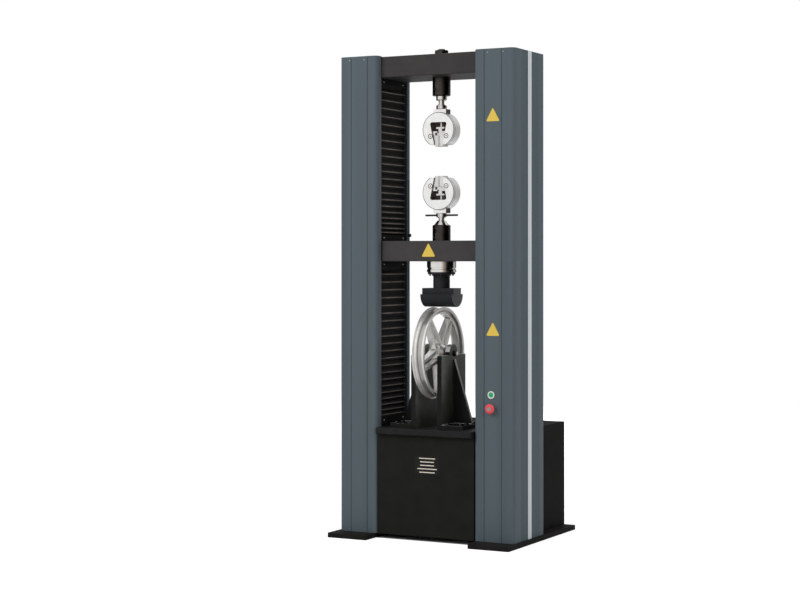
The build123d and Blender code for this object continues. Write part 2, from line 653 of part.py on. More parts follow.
def crosshead():
    """The moving beam, with ends that reach in to the posts and screws."""
    middle = block(-CROSSHEAD_HALF_WIDTH, CROSSHEAD_HALF_WIDTH, -BEAM_DEPTH / 2, BEAM_DEPTH / 2,
                   CROSSHEAD_BOTTOM, CROSSHEAD_TOP)
    middle = fillet(edges_along(middle, Axis.X), BEAM_EDGE)
    half = CROSSHEAD_END_DEPTH / 2
    ends = block(-CROSSHEAD_END_X, CROSSHEAD_END_X, -half, half, CROSSHEAD_BOTTOM, CROSSHEAD_TOP)
    beam = drill_posts(middle + ends, CROSSHEAD_BOTTOM, CROSSHEAD_TOP, BUSH_RADIUS + BORE_FIT)
    beam = drill_screws(beam, CROSSHEAD_BOTTOM, CROSSHEAD_TOP, BALL_NUT_RADIUS + BORE_FIT)
    spigot_radius = SPIGOT_RADIUS + BORE_FIT
    beam -= upright_rod(spigot_radius, CROSSHEAD_TOP - SPIGOT_LENGTH, CROSSHEAD_TOP)
    return beam - upright_rod(spigot_radius, CROSSHEAD_BOTTOM, CROSSHEAD_BOTTOM + SPIGOT_LENGTH)


def guide_bushes():
    """Bushes in the crosshead that run on the posts."""
    bottom = CROSSHEAD_BOTTOM - BUSH_PROUD
    top = CROSSHEAD_TOP + BUSH_PROUD
    return [upright_rod(BUSH_RADIUS, bottom, top, x, y) - upright_rod(POST_RADIUS + BORE_FIT, bottom, top, x, y)
            for x, y in post_places()]


def ball_nut():
    """The right ball nut, flanged onto the crosshead's top."""
    top = CROSSHEAD_TOP + BALL_NUT_FLANGE
    nut = upright_rod(BALL_NUT_RADIUS, top - BALL_NUT_LENGTH, top, POST_X)
    nut += upright_rod(BALL_NUT_FLANGE_RADIUS, CROSSHEAD_TOP, top, POST_X)
    return nut - upright_rod(SCREW_RADIUS + BORE_FIT, top - BALL_NUT_LENGTH, top, POST_X)


def bracket(seat_z, height, up):
    """The right angle that ends a bellows: its foot lies on seat_z and its wall stands up or hangs down."""
    wall_x = BELLOWS_X - BRACKET_SHEET
    half = BRACKET_HALF_WIDTH
    low, high = (seat_z, seat_z + height) if up else (seat_z - height, seat_z)
    wall = block(wall_x, BELLOWS_X, -half, half, low, high)
    low, high = (seat_z, seat_z + BRACKET_SHEET) if up else (seat_z - BRACKET_SHEET, seat_z)
    return wall + block(wall_x, wall_x + BRACKET_FOOT, -half, half, low, high)


def fixed_brackets():
    """The bellows' ends on the lower beam and under the top beam."""
    table_height = TABLE_TOP - LOWER_BEAM_TOP + TABLE_BRACKET_SHOWN
    return (both_sides(bracket(LOWER_BEAM_TOP, table_height, True))
            + both_sides(bracket(TOP_BEAM_BOTTOM, TOP_BRACKET_HEIGHT, False)))


def moving_brackets():
    """The bellows' ends on the crosshead's top and bottom."""
    return (both_sides(bracket(CROSSHEAD_TOP, MOVING_BRACKET_HEIGHT, True))
            + both_sides(bracket(CROSSHEAD_BOTTOM, MOVING_BRACKET_HEIGHT, False)))


def bellows(z0, z1, folds):
    """A pleated curtain over the right column's opening, from z0 to z1."""
    near = BELLOWS_X + FACE_GAP
    far = near + BELLOWS_FOLD_DEPTH
    pitch = (z1 - z0) / folds
    face = [(near + BELLOWS_FOLD_DEPTH * (step % 2), z0 + step * pitch / 2) for step in range(2 * folds + 1)]
    outline = face + [(far + BELLOWS_SHEET, z1), (far + BELLOWS_SHEET, z0)]
    return front_slab(outline, -BELLOWS_HALF_WIDTH, BELLOWS_HALF_WIDTH)


def upper_bellows():
    """The curtain between the crosshead and the top beam."""
    low = CROSSHEAD_TOP + BRACKET_SHEET + FACE_GAP
    return bellows(low, TOP_BEAM_BOTTOM - BRACKET_SHEET - FACE_GAP, UPPER_BELLOWS_FOLDS)


def lower_bellows():
    """The curtain between the lower beam and the crosshead."""
    low = LOWER_BEAM_TOP + BRACKET_SHEET + FACE_GAP
    return bellows(low, CROSSHEAD_BOTTOM - BRACKET_SHEET - FACE_GAP, LOWER_BELLOWS_FOLDS)


def base_bolt_places():
    """Where the wheel supports are bolted to the table."""
    near = SUPPORT_OUTER_X + BASE_BOLT_INSET
    far = SUPPORT_OUTER_X + SUPPORT_BASE_REACH - BASE_BOLT_INSET
    corners = [(near, BASE_BOLT_OUTER_Y), (far, BASE_BOLT_OUTER_Y), (far, BASE_BOLT_INNER_Y)]
    return [(AXLE_X + side * x, turn * y) for side in (-1, 1) for turn in (-1, 1) for x, y in corners]


def work_table():
    """The plate that the wheel supports stand on."""
    table = block(-TABLE_HALF_WIDTH, TABLE_HALF_WIDTH, TABLE_FRONT_Y, COLUMN_BACK_Y, LOWER_BEAM_TOP, TABLE_TOP)
    front_face = table.faces().sort_by(Axis.Y)[0]
    table = chamfer(front_face.edges(), TABLE_EDGE)
    for x, y in base_bolt_places():
        table -= upright_rod(BASE_BOLT_RADIUS + BORE_FIT, TABLE_TOP - BASE_BOLT_SEAT - FACE_GAP, TABLE_TOP, x, y)
    return table


def front_panel():
    """The folded panel between the columns, under the table."""
    half = COLUMN_IN - COVER_GAP
    front = COLUMN_FRONT_Y + PANEL_SETBACK
    top = LOWER_BEAM_TOP - FACE_GAP
    back = -BEAM_DEPTH / 2
    tray = block(-half, half, front, back, FOOT_THICKNESS, top)
    return tray - block(SHEET - half, half - SHEET, front + SHEET, back, FOOT_THICKNESS + SHEET, top - SHEET)


def cabinet_shell():
    """The rear cabinet's sides, floor and back, with a field of vent slots in the back."""
    half = CABINET_HALF_WIDTH
    top = TABLE_TOP - SHEET
    shell = block(-half, half, CABINET_FRONT_Y, CABINET_BACK_Y, FOOT_THICKNESS, top)
    shell -= block(SHEET - half, half - SHEET, CABINET_FRONT_Y, CABINET_BACK_Y - SHEET,
                   FOOT_THICKNESS + SHEET, top)
    for index in range(VENT_COUNT):
        z = VENT_Z + index * VENT_PITCH
        shell -= block(-VENT_LENGTH / 2, VENT_LENGTH / 2, CABINET_BACK_Y - SHEET, CABINET_BACK_Y,
                       z, z + VENT_HEIGHT)
    return shell


def cabinet_top():
    """The rear cabinet's lid, level with the table."""
    return block(-CABINET_HALF_WIDTH, CABINET_HALF_WIDTH, CABINET_FRONT_Y, CABINET_BACK_Y,
                 TABLE_TOP - SHEET, TABLE_TOP)


def button_bezels():
    """The two switch bodies, with the bezel and the collar that hold them on the column."""
    pieces = []
    for z, radius, height in ((START_BUTTON_Z, BEZEL_RADIUS, BEZEL_HEIGHT),
                              (STOP_BUTTON_Z, STOP_COLLAR_RADIUS, STOP_COLLAR_HEIGHT)):
        ring = front_rod(radius, COLUMN_FRONT_Y - height, COLUMN_FRONT_Y, BUTTON_X, z)
        ring += front_rod(SWITCH_RADIUS, COLUMN_FRONT_Y, COLUMN_FRONT_Y + SWITCH_LENGTH, BUTTON_X, z)
        ring -= front_rod(STEM_RADIUS + BORE_FIT, COLUMN_FRONT_Y - height,
                          COLUMN_FRONT_Y + SWITCH_LENGTH - COLUMN_WALL, BUTTON_X, z)
        pieces.append(ring)
    pieces[0] -= front_rod(START_CAP_RADIUS + FACE_GAP, COLUMN_FRONT_Y - BEZEL_HEIGHT, COLUMN_FRONT_Y,
                           BUTTON_X, START_BUTTON_Z)
    return pieces


def start_button():
    """The start button's cap and stem."""
    front = COLUMN_FRONT_Y - BEZEL_HEIGHT - START_CAP_PROUD
    back = COLUMN_FRONT_Y - START_TRAVEL - FACE_GAP
    cap = front_rod(START_CAP_RADIUS, front, back, BUTTON_X, START_BUTTON_Z)
    cap = fillet(cap.faces().sort_by(Axis.Y)[0].edges(), BUTTON_EDGE)
    return cap + front_rod(STEM_RADIUS, back, back + STEM_LENGTH, BUTTON_X, START_BUTTON_Z)


def stop_head():
    """The stop button's mushroom, a ring that turns on the plunger."""
    back = -STOP_COLLAR_HEIGHT - STOP_TRAVEL - STOP_GAP
    front = back - STOP_HEAD_HEIGHT
    bore = STOP_CENTRE_RADIUS + BORE_FIT
    rim = STOP_HEAD_RADIUS
    edge, shoulder = rim - STOP_HEAD_EDGE, bore + STOP_HEAD_EDGE
    side = Line((bore, back), (edge, back)), Line((edge, back), (rim, back - STOP_HEAD_EDGE))
    crown = ThreePointArc((rim, back - STOP_HEAD_EDGE), (edge, front + STOP_HEAD_CROWN), (shoulder, front))
    profile = make_face([*side, crown, Line((shoulder, front), (bore, front)), Line((bore, front), (bore, back))])
    ring = revolve(profile, axis=Axis.Y)
    return Pos(BUTTON_X, COLUMN_FRONT_Y, STOP_BUTTON_Z) * ring


def stop_plunger():
    """The grey centre and stem of the stop button."""
    back = COLUMN_FRONT_Y - STOP_COLLAR_HEIGHT - STOP_TRAVEL - STOP_GAP
    front = back - STOP_HEAD_HEIGHT - BUTTON_EDGE
    plunger = front_rod(STOP_CENTRE_RADIUS, front, back, BUTTON_X, STOP_BUTTON_Z)
    return plunger + front_rod(STEM_RADIUS, back, back + STEM_LENGTH, BUTTON_X, STOP_BUTTON_Z)


def limit_knob():
    """The knob, its stem through the slot and the clamp nut behind the flange."""
    face = -COLUMN_IN + FACE_GAP
    knob = cross_rod(STOP_KNOB_RADIUS, face, face + STOP_KNOB_LENGTH, STOP_KNOB_Y, STOP_KNOB_Z)
    knob = chamfer(knob.faces().sort_by(Axis.X)[-1].edges(), STOP_KNOB_EDGE)
    nut_face = -COLUMN_IN - COLUMN_WALL - FACE_GAP
    knob += cross_rod(STOP_STEM_RADIUS, nut_face, face, STOP_KNOB_Y, STOP_KNOB_Z)
    return knob + block(nut_face - STOP_NUT_THICKNESS, nut_face,
                        STOP_KNOB_Y - STOP_NUT_HALF_WIDTH, STOP_KNOB_Y + STOP_NUT_HALF_WIDTH,
                        STOP_KNOB_Z - STOP_NUT_HALF_HEIGHT, STOP_KNOB_Z + STOP_NUT_HALF_HEIGHT)


def wedge_half_width(z, extra=0):
    """Half the width between the wedge faces at a height in the grip."""
    return CHANNEL_MOUTH_HALF_WIDTH + extra + (z + MOUTH_DROP) * WEDGE_SLOPE


def wedge_space(top, extra, y0, y1):
    """The space between the wedge faces, from below the mouth up to top."""
    low = -GRIP_RADIUS
    right_low, right_top = wedge_half_width(low, extra), wedge_half_width(top, extra)
    return front_slab([(-right_low, low), (right_low, low), (right_top, top), (-right_top, top)], y0, y1)


def below_mouth():
    """What the mouth's flat takes off the grip's round."""
    return block(-GRIP_RADIUS, GRIP_RADIUS, -GRIP_RADIUS, GRIP_RADIUS, -2 * GRIP_RADIUS, -MOUTH_DROP)


def plate_screw_places():
    """Where the front plate's two screws sit."""
    return [(side * PLATE_SCREW_X, -PLATE_SCREW_DROP) for side in (-1, 1)]


def grip_body():
    """The round body with its wedge pocket, neck and rod bore."""
    plate_back = GRIP_PLATE - GRIP_HALF_DEPTH
    groove_back = plate_back + GRIP_GROOVE
    disc = front_rod(GRIP_RADIUS, groove_back, GRIP_HALF_DEPTH)
    disc += front_rod(GRIP_RADIUS - GRIP_GROOVE_DEPTH, plate_back, groove_back)
    neck = block(-NECK_WIDTH / 2, NECK_WIDTH / 2, groove_back, groove_back + NECK_DEPTH, 0, NECK_TOP)
    body = disc + neck - below_mouth()
    body -= wedge_space(POCKET_TOP, POCKET_STEP, plate_back, POCKET_BACK_Y)
    body -= upright_rod(CARRIER_ROD_RADIUS + BORE_FIT, 0, NECK_TOP)
    body -= upright_rod(SPINDLE_RADIUS + BORE_FIT, NECK_TOP - SPINDLE_SEAT, NECK_TOP)
    for x, z in plate_screw_places():
        screw_end = plate_back + PLATE_SCREW_LENGTH
        body -= front_rod(PLATE_SCREW_RADIUS + BORE_FIT, plate_back, screw_end, x, z)
    return body


def grip_front():
    """The front plate with its wedge-shaped window, and the two screws that hold it."""
    front = -GRIP_HALF_DEPTH
    plate_back = front + GRIP_PLATE
    window = wedge_space(CHANNEL_TOP, 0, front, plate_back)
    top_corners = edges_along(window, Axis.Y).sort_by(Axis.Z)[-2:]
    window = fillet(top_corners, CHANNEL_CORNER_RADIUS)
    plate = front_rod(GRIP_RADIUS, front, plate_back) - below_mouth() - window
    screws = []
    for x, z in plate_screw_places():
        plate -= front_rod(PLATE_SCREW_HEAD_RADIUS + BORE_FIT, front, plate_back, x, z)
        screw = front_rod(PLATE_SCREW_HEAD_RADIUS, front - PLATE_SCREW_PROUD, plate_back, x, z)
        screw_end = plate_back + PLATE_SCREW_LENGTH
        screws.append(screw + front_rod(PLATE_SCREW_RADIUS, plate_back, screw_end, x, z))
    return [plate] + screws


def jaw():
    """The right jaw: a flat gripping face, a stepped wedge face and a hook for the carrier."""
    def outline(extra):
        low = wedge_half_width(JAW_TIP, extra) - JAW_SLIDE_GAP
        high = wedge_half_width(JAW_TOP, extra) - JAW_SLIDE_GAP
        hook_low = JAW_TOP - JAW_HOOK_HEIGHT
        return [(JAW_GAP / 2, JAW_TIP), (low, JAW_TIP), (high, JAW_TOP), (JAW_HOOK_X, JAW_TOP),
                (JAW_HOOK_X, hook_low), (JAW_NECK_X, hook_low), (JAW_NECK_X, JAW_SOLID_TOP),
                (JAW_GAP / 2, JAW_SOLID_TOP)]
    front = -GRIP_HALF_DEPTH + JAW_RECESS
    step = GRIP_PLATE - GRIP_HALF_DEPTH + FACE_GAP
    return (front_slab(outline(0), front, step)
            + front_slab(outline(POCKET_STEP), step, POCKET_BACK_Y - FACE_GAP))


def carrier():
    """The pull rod with the head that hooks both jaws, a stop bar and the key that the collar drives."""
    hook_low = JAW_TOP - JAW_HOOK_HEIGHT
    head_bottom, head_top = JAW_SOLID_TOP + FACE_GAP, hook_low - FACE_GAP
    bar_top = CARRIER_BAR_BOTTOM + CARRIER_BAR_HEIGHT
    half_depth = CARRIER_HALF_DEPTH
    head = block(-CARRIER_HEAD_HALF_WIDTH, CARRIER_HEAD_HALF_WIDTH, -half_depth, half_depth,
                 head_bottom, head_top)
    neck = block(-CARRIER_NECK_HALF_WIDTH, CARRIER_NECK_HALF_WIDTH, -half_depth, half_depth,
                 head_top, CARRIER_BAR_BOTTOM)
    bar = block(-CARRIER_BAR_HALF_WIDTH, CARRIER_BAR_HALF_WIDTH, -half_depth, half_depth,
                CARRIER_BAR_BOTTOM, bar_top)
    bar = chamfer(edges_along(bar, Axis.Y), CARRIER_EDGE)
    rod = upright_rod(CARRIER_ROD_RADIUS, bar_top - CARRIER_EDGE, KEY_Z + KEY_HEIGHT)
    key_reach = COLLAR_RECESS_RADIUS - FACE_GAP
    key_low, key_high = KEY_Z - KEY_HEIGHT / 2, KEY_Z + KEY_HEIGHT / 2
    key = block(-key_reach, key_reach, -KEY_WIDTH / 2, KEY_WIDTH / 2, key_low, key_high)
    key &= upright_rod(key_reach, key_low, key_high)
    return head + neck + bar + rod + key


def collar(with_bars):
    """The ring that is turned by hand on the spindle, with four bar holes, and two bars where fitted."""
    ring = chamfer(upright_rod(COLLAR_RADIUS, NECK_TOP, COLLAR_TOP).edges(), COLLAR_EDGE)
    ring -= upright_rod(SPINDLE_RADIUS + BORE_FIT, NECK_TOP, COLLAR_TOP)
    ring -= upright_rod(COLLAR_RECESS_RADIUS, NECK_TOP + COLLAR_LIP, COLLAR_TOP - COLLAR_LIP)
    middle = (NECK_TOP + COLLAR_TOP) / 2
    hole = cross_rod(TOMMY_RADIUS + BORE_FIT, COLLAR_RADIUS - TOMMY_HOLE_INSET, COLLAR_RADIUS, 0, middle)
    bar = cross_rod(TOMMY_RADIUS, COLLAR_RADIUS - TOMMY_HOLE_INSET, TOMMY_REACH, 0, middle)
    for quarter in range(4):
        ring -= Rot(0, 0, 90 * quarter) * hole
    return [Pos(0, 0, FACE_GAP) * piece for piece in [ring] + (both_sides(bar) if with_bars else [])]


def spindle(top):
    """The hollow stud from the grip's neck up to top, slotted for the carrier's key."""
    bottom = NECK_TOP - SPINDLE_SEAT
    key_low = KEY_Z - KEY_HEIGHT / 2 - JAW_CLOSING_TRAVEL - KEY_SLOT_MARGIN
    key_high = KEY_Z + KEY_HEIGHT / 2 + JAW_OPENING_TRAVEL + KEY_SLOT_MARGIN
    flange_low = COLLAR_TOP + 2 * FACE_GAP
    stud = upright_rod(SPINDLE_RADIUS, bottom, top)
    stud += upright_rod(SPINDLE_FLANGE_RADIUS, flange_low, flange_low + SPINDLE_FLANGE)
    stud -= upright_rod(CARRIER_ROD_RADIUS + BORE_FIT, bottom, key_high + KEY_HEIGHT)
    slot_half = KEY_WIDTH / 2 + JAW_SLIDE_GAP
    return stud - block(-SPINDLE_RADIUS, SPINDLE_RADIUS, -slot_half, slot_half, key_low, key_high)


def cross_pin(radius, z, inset=0):
    """A pin across an adapter, turned a little from front to back."""
    reach = ADAPTER_RADIUS - inset
    return Rot(0, 0, -PIN_TURN) * front_rod(radius, -reach, reach, 0, z)


def upper_string():
    """The adapter under the top beam with its pin, lock nut and spindle."""
    seat_top = UPPER_ADAPTER_BOTTOM + ADAPTER_SEAT
    adapter = upright_rod(ADAPTER_RADIUS, UPPER_ADAPTER_BOTTOM, TOP_BEAM_BOTTOM)
    adapter = chamfer(adapter.edges().sort_by(Axis.Z)[0], ADAPTER_EDGE)
    adapter -= upright_rod(SPINDLE_RADIUS + BORE_FIT, UPPER_ADAPTER_BOTTOM, seat_top)
    adapter -= upright_rod(DRAW_BOLT_RADIUS + BORE_FIT, TOP_BEAM_BOTTOM - DRAW_BOLT_SEAT, TOP_BEAM_BOTTOM)
    pin_z = TOP_BEAM_BOTTOM - UPPER_PIN_DROP
    adapter -= cross_pin(UPPER_PIN_RADIUS + BORE_FIT, pin_z)
    nut_bottom = UPPER_ADAPTER_BOTTOM - UPPER_NUT_HEIGHT
    nut = upright_rod(UPPER_NUT_RADIUS, nut_bottom, UPPER_ADAPTER_BOTTOM)
    nut = chamfer(nut.edges(), ADAPTER_EDGE) - upright_rod(SPINDLE_RADIUS + BORE_FIT, nut_bottom,
                                                           UPPER_ADAPTER_BOTTOM)
    stud = Pos(0, 0, UPPER_GRIP_Z) * spindle(seat_top - UPPER_GRIP_Z) - cross_pin(
        UPPER_PIN_RADIUS + BORE_FIT, pin_z)
    save("upper_adapter", adapter, cross_pin(UPPER_PIN_RADIUS, pin_z))
    save("upper_lock_nut", nut)
    save("upper_spindle", stud)


def lower_string():
    """The adapter on the crosshead with its pin, conical lock nut and spindle."""
    seat_bottom = LOWER_ADAPTER_TOP - ADAPTER_SEAT
    adapter = upright_rod(ADAPTER_RADIUS, CROSSHEAD_TOP, LOWER_ADAPTER_TOP)
    adapter = chamfer(adapter.edges().sort_by(Axis.Z)[-1], ADAPTER_EDGE)
    adapter -= upright_rod(SPINDLE_RADIUS + BORE_FIT, seat_bottom, LOWER_ADAPTER_TOP)
    adapter += upright_rod(SPIGOT_RADIUS, CROSSHEAD_TOP - SPIGOT_LENGTH, CROSSHEAD_TOP)
    pin_z = CROSSHEAD_TOP + LOWER_PIN_RISE
    adapter -= cross_pin(LOWER_PIN_RADIUS + BORE_FIT, pin_z)
    nut_top = LOWER_ADAPTER_TOP + LOWER_NUT_HEIGHT
    nut = Pos(0, 0, (LOWER_ADAPTER_TOP + nut_top) / 2) * Cone(LOWER_NUT_BOTTOM_RADIUS, LOWER_NUT_TOP_RADIUS,
                                                             LOWER_NUT_HEIGHT)
    nut -= upright_rod(SPINDLE_RADIUS + BORE_FIT, LOWER_ADAPTER_TOP, nut_top)
    stud = Pos(0, 0, LOWER_GRIP_Z) * upside_down(spindle(LOWER_GRIP_Z - seat_bottom)) - cross_pin(
        LOWER_PIN_RADIUS + BORE_FIT, pin_z)
    save("lower_adapter", adapter, cross_pin(LOWER_PIN_RADIUS, pin_z, LOWER_PIN_INSET))
    save("lower_lock_nut", nut)
    save("lower_spindle", stud)


def upside_down(shape):
    """The same piece with its mouth up."""
    return mirror(shape, about=Plane.XY)


def save_grip(name, centre_z, mouth_up, with_bars):
    """Write the pieces of one grip."""
    def placed(pieces):
        return [Pos(0, 0, centre_z) * (upside_down(piece) if mouth_up else piece) for piece in pieces]
    save(f"{name}_grip_body", *placed([grip_body()]))
    save(f"{name}_grip_front", *placed(grip_front()))
    save(f"{name}_carrier", *placed([carrier()]))
    save(f"{name}_jaw_right", *placed([jaw()]))
    save(f"{name}_jaw_left", *placed([mirror_x(jaw())]))
    save(f"{name}_collar", *placed(collar(with_bars)))


def draw_bolt():
    """The bolt that pulls the upper adapter against the beam, and its hexagon nut on the beam's top."""
    bolt_top = TOP_BEAM_TOP + DRAW_BOLT_PROUD
    bolt = upright_rod(DRAW_BOLT_RADIUS, TOP_BEAM_BOTTOM - DRAW_BOLT_SEAT, bolt_top)
    hexagon = Pos(0, 0, TOP_BEAM_TOP) * extrude(RegularPolygon(BEAM_NUT_RADIUS, 6), amount=BEAM_NUT_HEIGHT)
    round_top = Pos(0, 0, TOP_BEAM_TOP + BEAM_NUT_HEIGHT / 2) * Cylinder(BEAM_NUT_RADIUS, BEAM_NUT_HEIGHT)
    round_top = chamfer(round_top.edges().sort_by(Axis.Z)[-1], BEAM_NUT_EDGE)
    nut = (hexagon & round_top) - upright_rod(DRAW_BOLT_RADIUS + BORE_FIT, TOP_BEAM_TOP, bolt_top)
    return [bolt, nut]


def load_cell():
    """The round load cell under the crosshead, with a groove between its rims and a spigot on top."""
    cell = upright_rod(LOAD_CELL_RADIUS, LOAD_CELL_BOTTOM, CROSSHEAD_BOTTOM)
    groove_low = LOAD_CELL_BOTTOM + LOAD_CELL_RIM
    groove = upright_rod(LOAD_CELL_RADIUS, groove_low, groove_low + LOAD_CELL_GROOVE_HEIGHT)
    groove -= upright_rod(LOAD_CELL_RADIUS - LOAD_CELL_GROOVE_DEPTH, groove_low,
                          groove_low + LOAD_CELL_GROOVE_HEIGHT)
    spigot = upright_rod(SPIGOT_RADIUS, CROSSHEAD_BOTTOM, CROSSHEAD_BOTTOM + SPIGOT_LENGTH)
    return cell - groove + spigot


def indenter_stem():
    """The flange and the stem that carry the indenter."""
    flange = upright_rod(FLANGE_RADIUS, FLANGE_BOTTOM, LOAD_CELL_BOTTOM)
    stem = upright_rod(INDENTER_STEM_RADIUS, INDENTER_TOP, FLANGE_BOTTOM)
    flare = Pos(0, 0, FLANGE_BOTTOM - STEM_FLARE / 2) * Cone(INDENTER_STEM_RADIUS,
                                                             INDENTER_STEM_RADIUS + STEM_FLARE, STEM_FLARE)
    return flange + stem + flare


def indenter():
    """The block that presses on the rim, with a half-round underside along X."""
    half = INDENTER_LENGTH / 2
    round_z = INDENTER_TOP - INDENTER_BLOCK_HEIGHT
    top = block(-half, half, -INDENTER_BLOCK_DEPTH / 2, INDENTER_BLOCK_DEPTH / 2, round_z, INDENTER_TOP)
    barrel = cross_rod(INDENTER_ROUND_RADIUS, -half, half, 0, round_z)
    above = block(-half, half, -INDENTER_ROUND_RADIUS, INDENTER_ROUND_RADIUS,
                  round_z, round_z + INDENTER_ROUND_RADIUS)
    return top + (barrel - above)


def turned_about_x(points):
    """A round solid about the X axis from points of x and radius."""
    outline = make_face(Polyline([(x, r, 0) for x, r in points], close=True))
    return revolve(outline, axis=Axis.X)


def rim():
    """The rim: two lips, bead seats and a dropped well."""
    edge = RIM_HALF_WIDTH
    seat_radius = RIM_RADIUS - BEAD_SEAT_DROP
    well_radius = RIM_RADIUS - WELL_DROP
    edge_radius = RIM_RADIUS - RIM_EDGE_THICKNESS
    lip_x = edge - RIM_LIP
    seat_inner_x = edge - BEAD_SEAT_WIDTH
    well_x = seat_inner_x - WELL_WALL_WIDTH
    right_side = [(edge, edge_radius), (edge, RIM_RADIUS), (lip_x, RIM_RADIUS),
                  (lip_x - BEAD_SEAT_SLOPE, seat_radius), (seat_inner_x, seat_radius - BEAD_SEAT_RISE),
                  (well_x, well_radius)]
    inner_side = [(seat_inner_x - BEAD_SEAT_SLOPE, RIM_INNER_RADIUS),
                  (lip_x - RIM_FLANK, edge_radius - RIM_FLANK)]
    points = right_side + [(-x, r) for x, r in reversed(right_side)]
    points += [(-x, r) for x, r in reversed(inner_side)] + inner_side
    return turned_about_x(points)


def hub():
    """The hub with its two bearing seats."""
    points = [(-HUB_BOSS_HALF_WIDTH, 0), (-HUB_BOSS_HALF_WIDTH, HUB_BOSS_RADIUS),
              (-HUB_HALF_WIDTH, HUB_RADIUS), (HUB_HALF_WIDTH, HUB_RADIUS),
              (HUB_BOSS_HALF_WIDTH, HUB_BOSS_RADIUS), (HUB_BOSS_HALF_WIDTH, 0)]
    return turned_about_x(points)


def spoke_plan():
    """The arms of all split spoke pairs, seen along the axle."""
    def arm(side):
        hub_y, rim_y = side * SPOKE_HUB_SPACING / 2, side * SPOKE_RIM_SPACING / 2
        corners = [(hub_y - SPOKE_HUB_WIDTH / 2, SPOKE_START), (hub_y + SPOKE_HUB_WIDTH / 2, SPOKE_START),
                   (rim_y + SPOKE_RIM_WIDTH / 2, SPOKE_END), (rim_y - SPOKE_RIM_WIDTH / 2, SPOKE_END)]
        return make_face(Polyline(corners, close=True))
    plan = Circle(HUB_RADIUS - SPOKE_EDGE)
    for index in range(SPOKE_PAIRS):
        turn = Rot(0, 0, 180 + 360 / SPOKE_PAIRS * index)
        plan += turn * arm(-1)
        plan += turn * arm(1)
    return plan


def spokes():
    """The arms, deep at the hub and shallow at the rim."""
    slab = extrude(Plane.YZ * spoke_plan(), amount=SPOKE_HUB_DEPTH / 2, both=True)
    taper = turned_about_x([(-SPOKE_HUB_DEPTH / 2, 0), (-SPOKE_HUB_DEPTH / 2, SPOKE_START),
                            (-SPOKE_RIM_DEPTH / 2, SPOKE_END + SPOKE_EDGE),
                            (SPOKE_RIM_DEPTH / 2, SPOKE_END + SPOKE_EDGE),
                            (SPOKE_HUB_DEPTH / 2, SPOKE_START), (SPOKE_HUB_DEPTH / 2, 0)])
    return slab & taper


def wheel():
    """The cast wheel with split spokes, bored for its bearings and axle."""
    casting = spokes() + hub() + rim()
    casting -= cross_rod(HUB_BORE_RADIUS, -HUB_BOSS_HALF_WIDTH, HUB_BOSS_HALF_WIDTH)
    seat_x = HUB_BOSS_HALF_WIDTH - WHEEL_BEARING_WIDTH
    seat = cross_rod(WHEEL_BEARING_RADIUS + BORE_FIT, seat_x, HUB_BOSS_HALF_WIDTH)
    return at_axle(casting - seat - mirror_x(seat))


def at_axle(shape):
    """Move a piece drawn about the origin to the wheel's axle."""
    return Pos(AXLE_X, 0, AXLE_Z) * shape


def wheel_bearings():
    """The two ball bearings in the hub."""
    seat_x = HUB_BOSS_HALF_WIDTH - WHEEL_BEARING_WIDTH
    ring = cross_rod(WHEEL_BEARING_RADIUS, seat_x, HUB_BOSS_HALF_WIDTH)
    ring -= cross_rod(AXLE_RADIUS + BORE_FIT, seat_x, HUB_BOSS_HALF_WIDTH)
    return [at_axle(piece) for piece in both_sides(ring)]


def axle():
    """The axle with a spacer sleeve each side of the hub."""
    end = SUPPORT_OUTER_X + AXLE_NUT_HEIGHT + AXLE_END_PROUD
    shaft = cross_rod(AXLE_RADIUS, -end, end)
    sleeve_start, sleeve_end = HUB_BOSS_HALF_WIDTH + FACE_GAP, SUPPORT_INNER_X
    sleeve = cross_rod(SPACER_RADIUS, sleeve_start, sleeve_end)
    return at_axle(shaft + sleeve + mirror_x(sleeve))


def wheel_support():
    """The right support: upright with a domed head, base plate and gusset, welded together."""
    upright = block(SUPPORT_INNER_X, SUPPORT_OUTER_X, -SUPPORT_HALF_DEPTH, SUPPORT_HALF_DEPTH,
                    TABLE_TOP, SUPPORT_TOP)
    dome = cross_rod(SUPPORT_DOME_RADIUS, SUPPORT_INNER_X, SUPPORT_OUTER_X, 0, AXLE_Z)
    base_end = SUPPORT_OUTER_X + SUPPORT_BASE_REACH
    base = block(SUPPORT_INNER_X, base_end, -SUPPORT_HALF_DEPTH, SUPPORT_HALF_DEPTH,
                 TABLE_TOP, SUPPORT_BASE_TOP)
    toe_x = base_end - GUSSET_END_INSET
    gusset = front_slab([(SUPPORT_OUTER_X, SUPPORT_BASE_TOP), (toe_x, SUPPORT_BASE_TOP),
                         (toe_x, SUPPORT_BASE_TOP + GUSSET_TOE), (SUPPORT_OUTER_X + GUSSET_TOE, GUSSET_TOP),
                         (SUPPORT_OUTER_X, GUSSET_TOP)], -GUSSET_THICKNESS / 2, GUSSET_THICKNESS / 2)
    weldment = upright + dome + base + gusset
    return weldment - cross_rod(AXLE_RADIUS + BORE_FIT, SUPPORT_INNER_X, SUPPORT_OUTER_X, 0, AXLE_Z)


def wheel_supports():
    """The two supports, either side of the wheel, with their bolt holes."""
    pieces = []
    for piece in both_sides(wheel_support()):
        placed = Pos(AXLE_X, 0, 0) * piece
        for x, y in base_bolt_places():
            placed -= upright_rod(BASE_BOLT_RADIUS + BORE_FIT, TABLE_TOP, SUPPORT_BASE_TOP, x, y)
        pieces.append(placed)
    return pieces


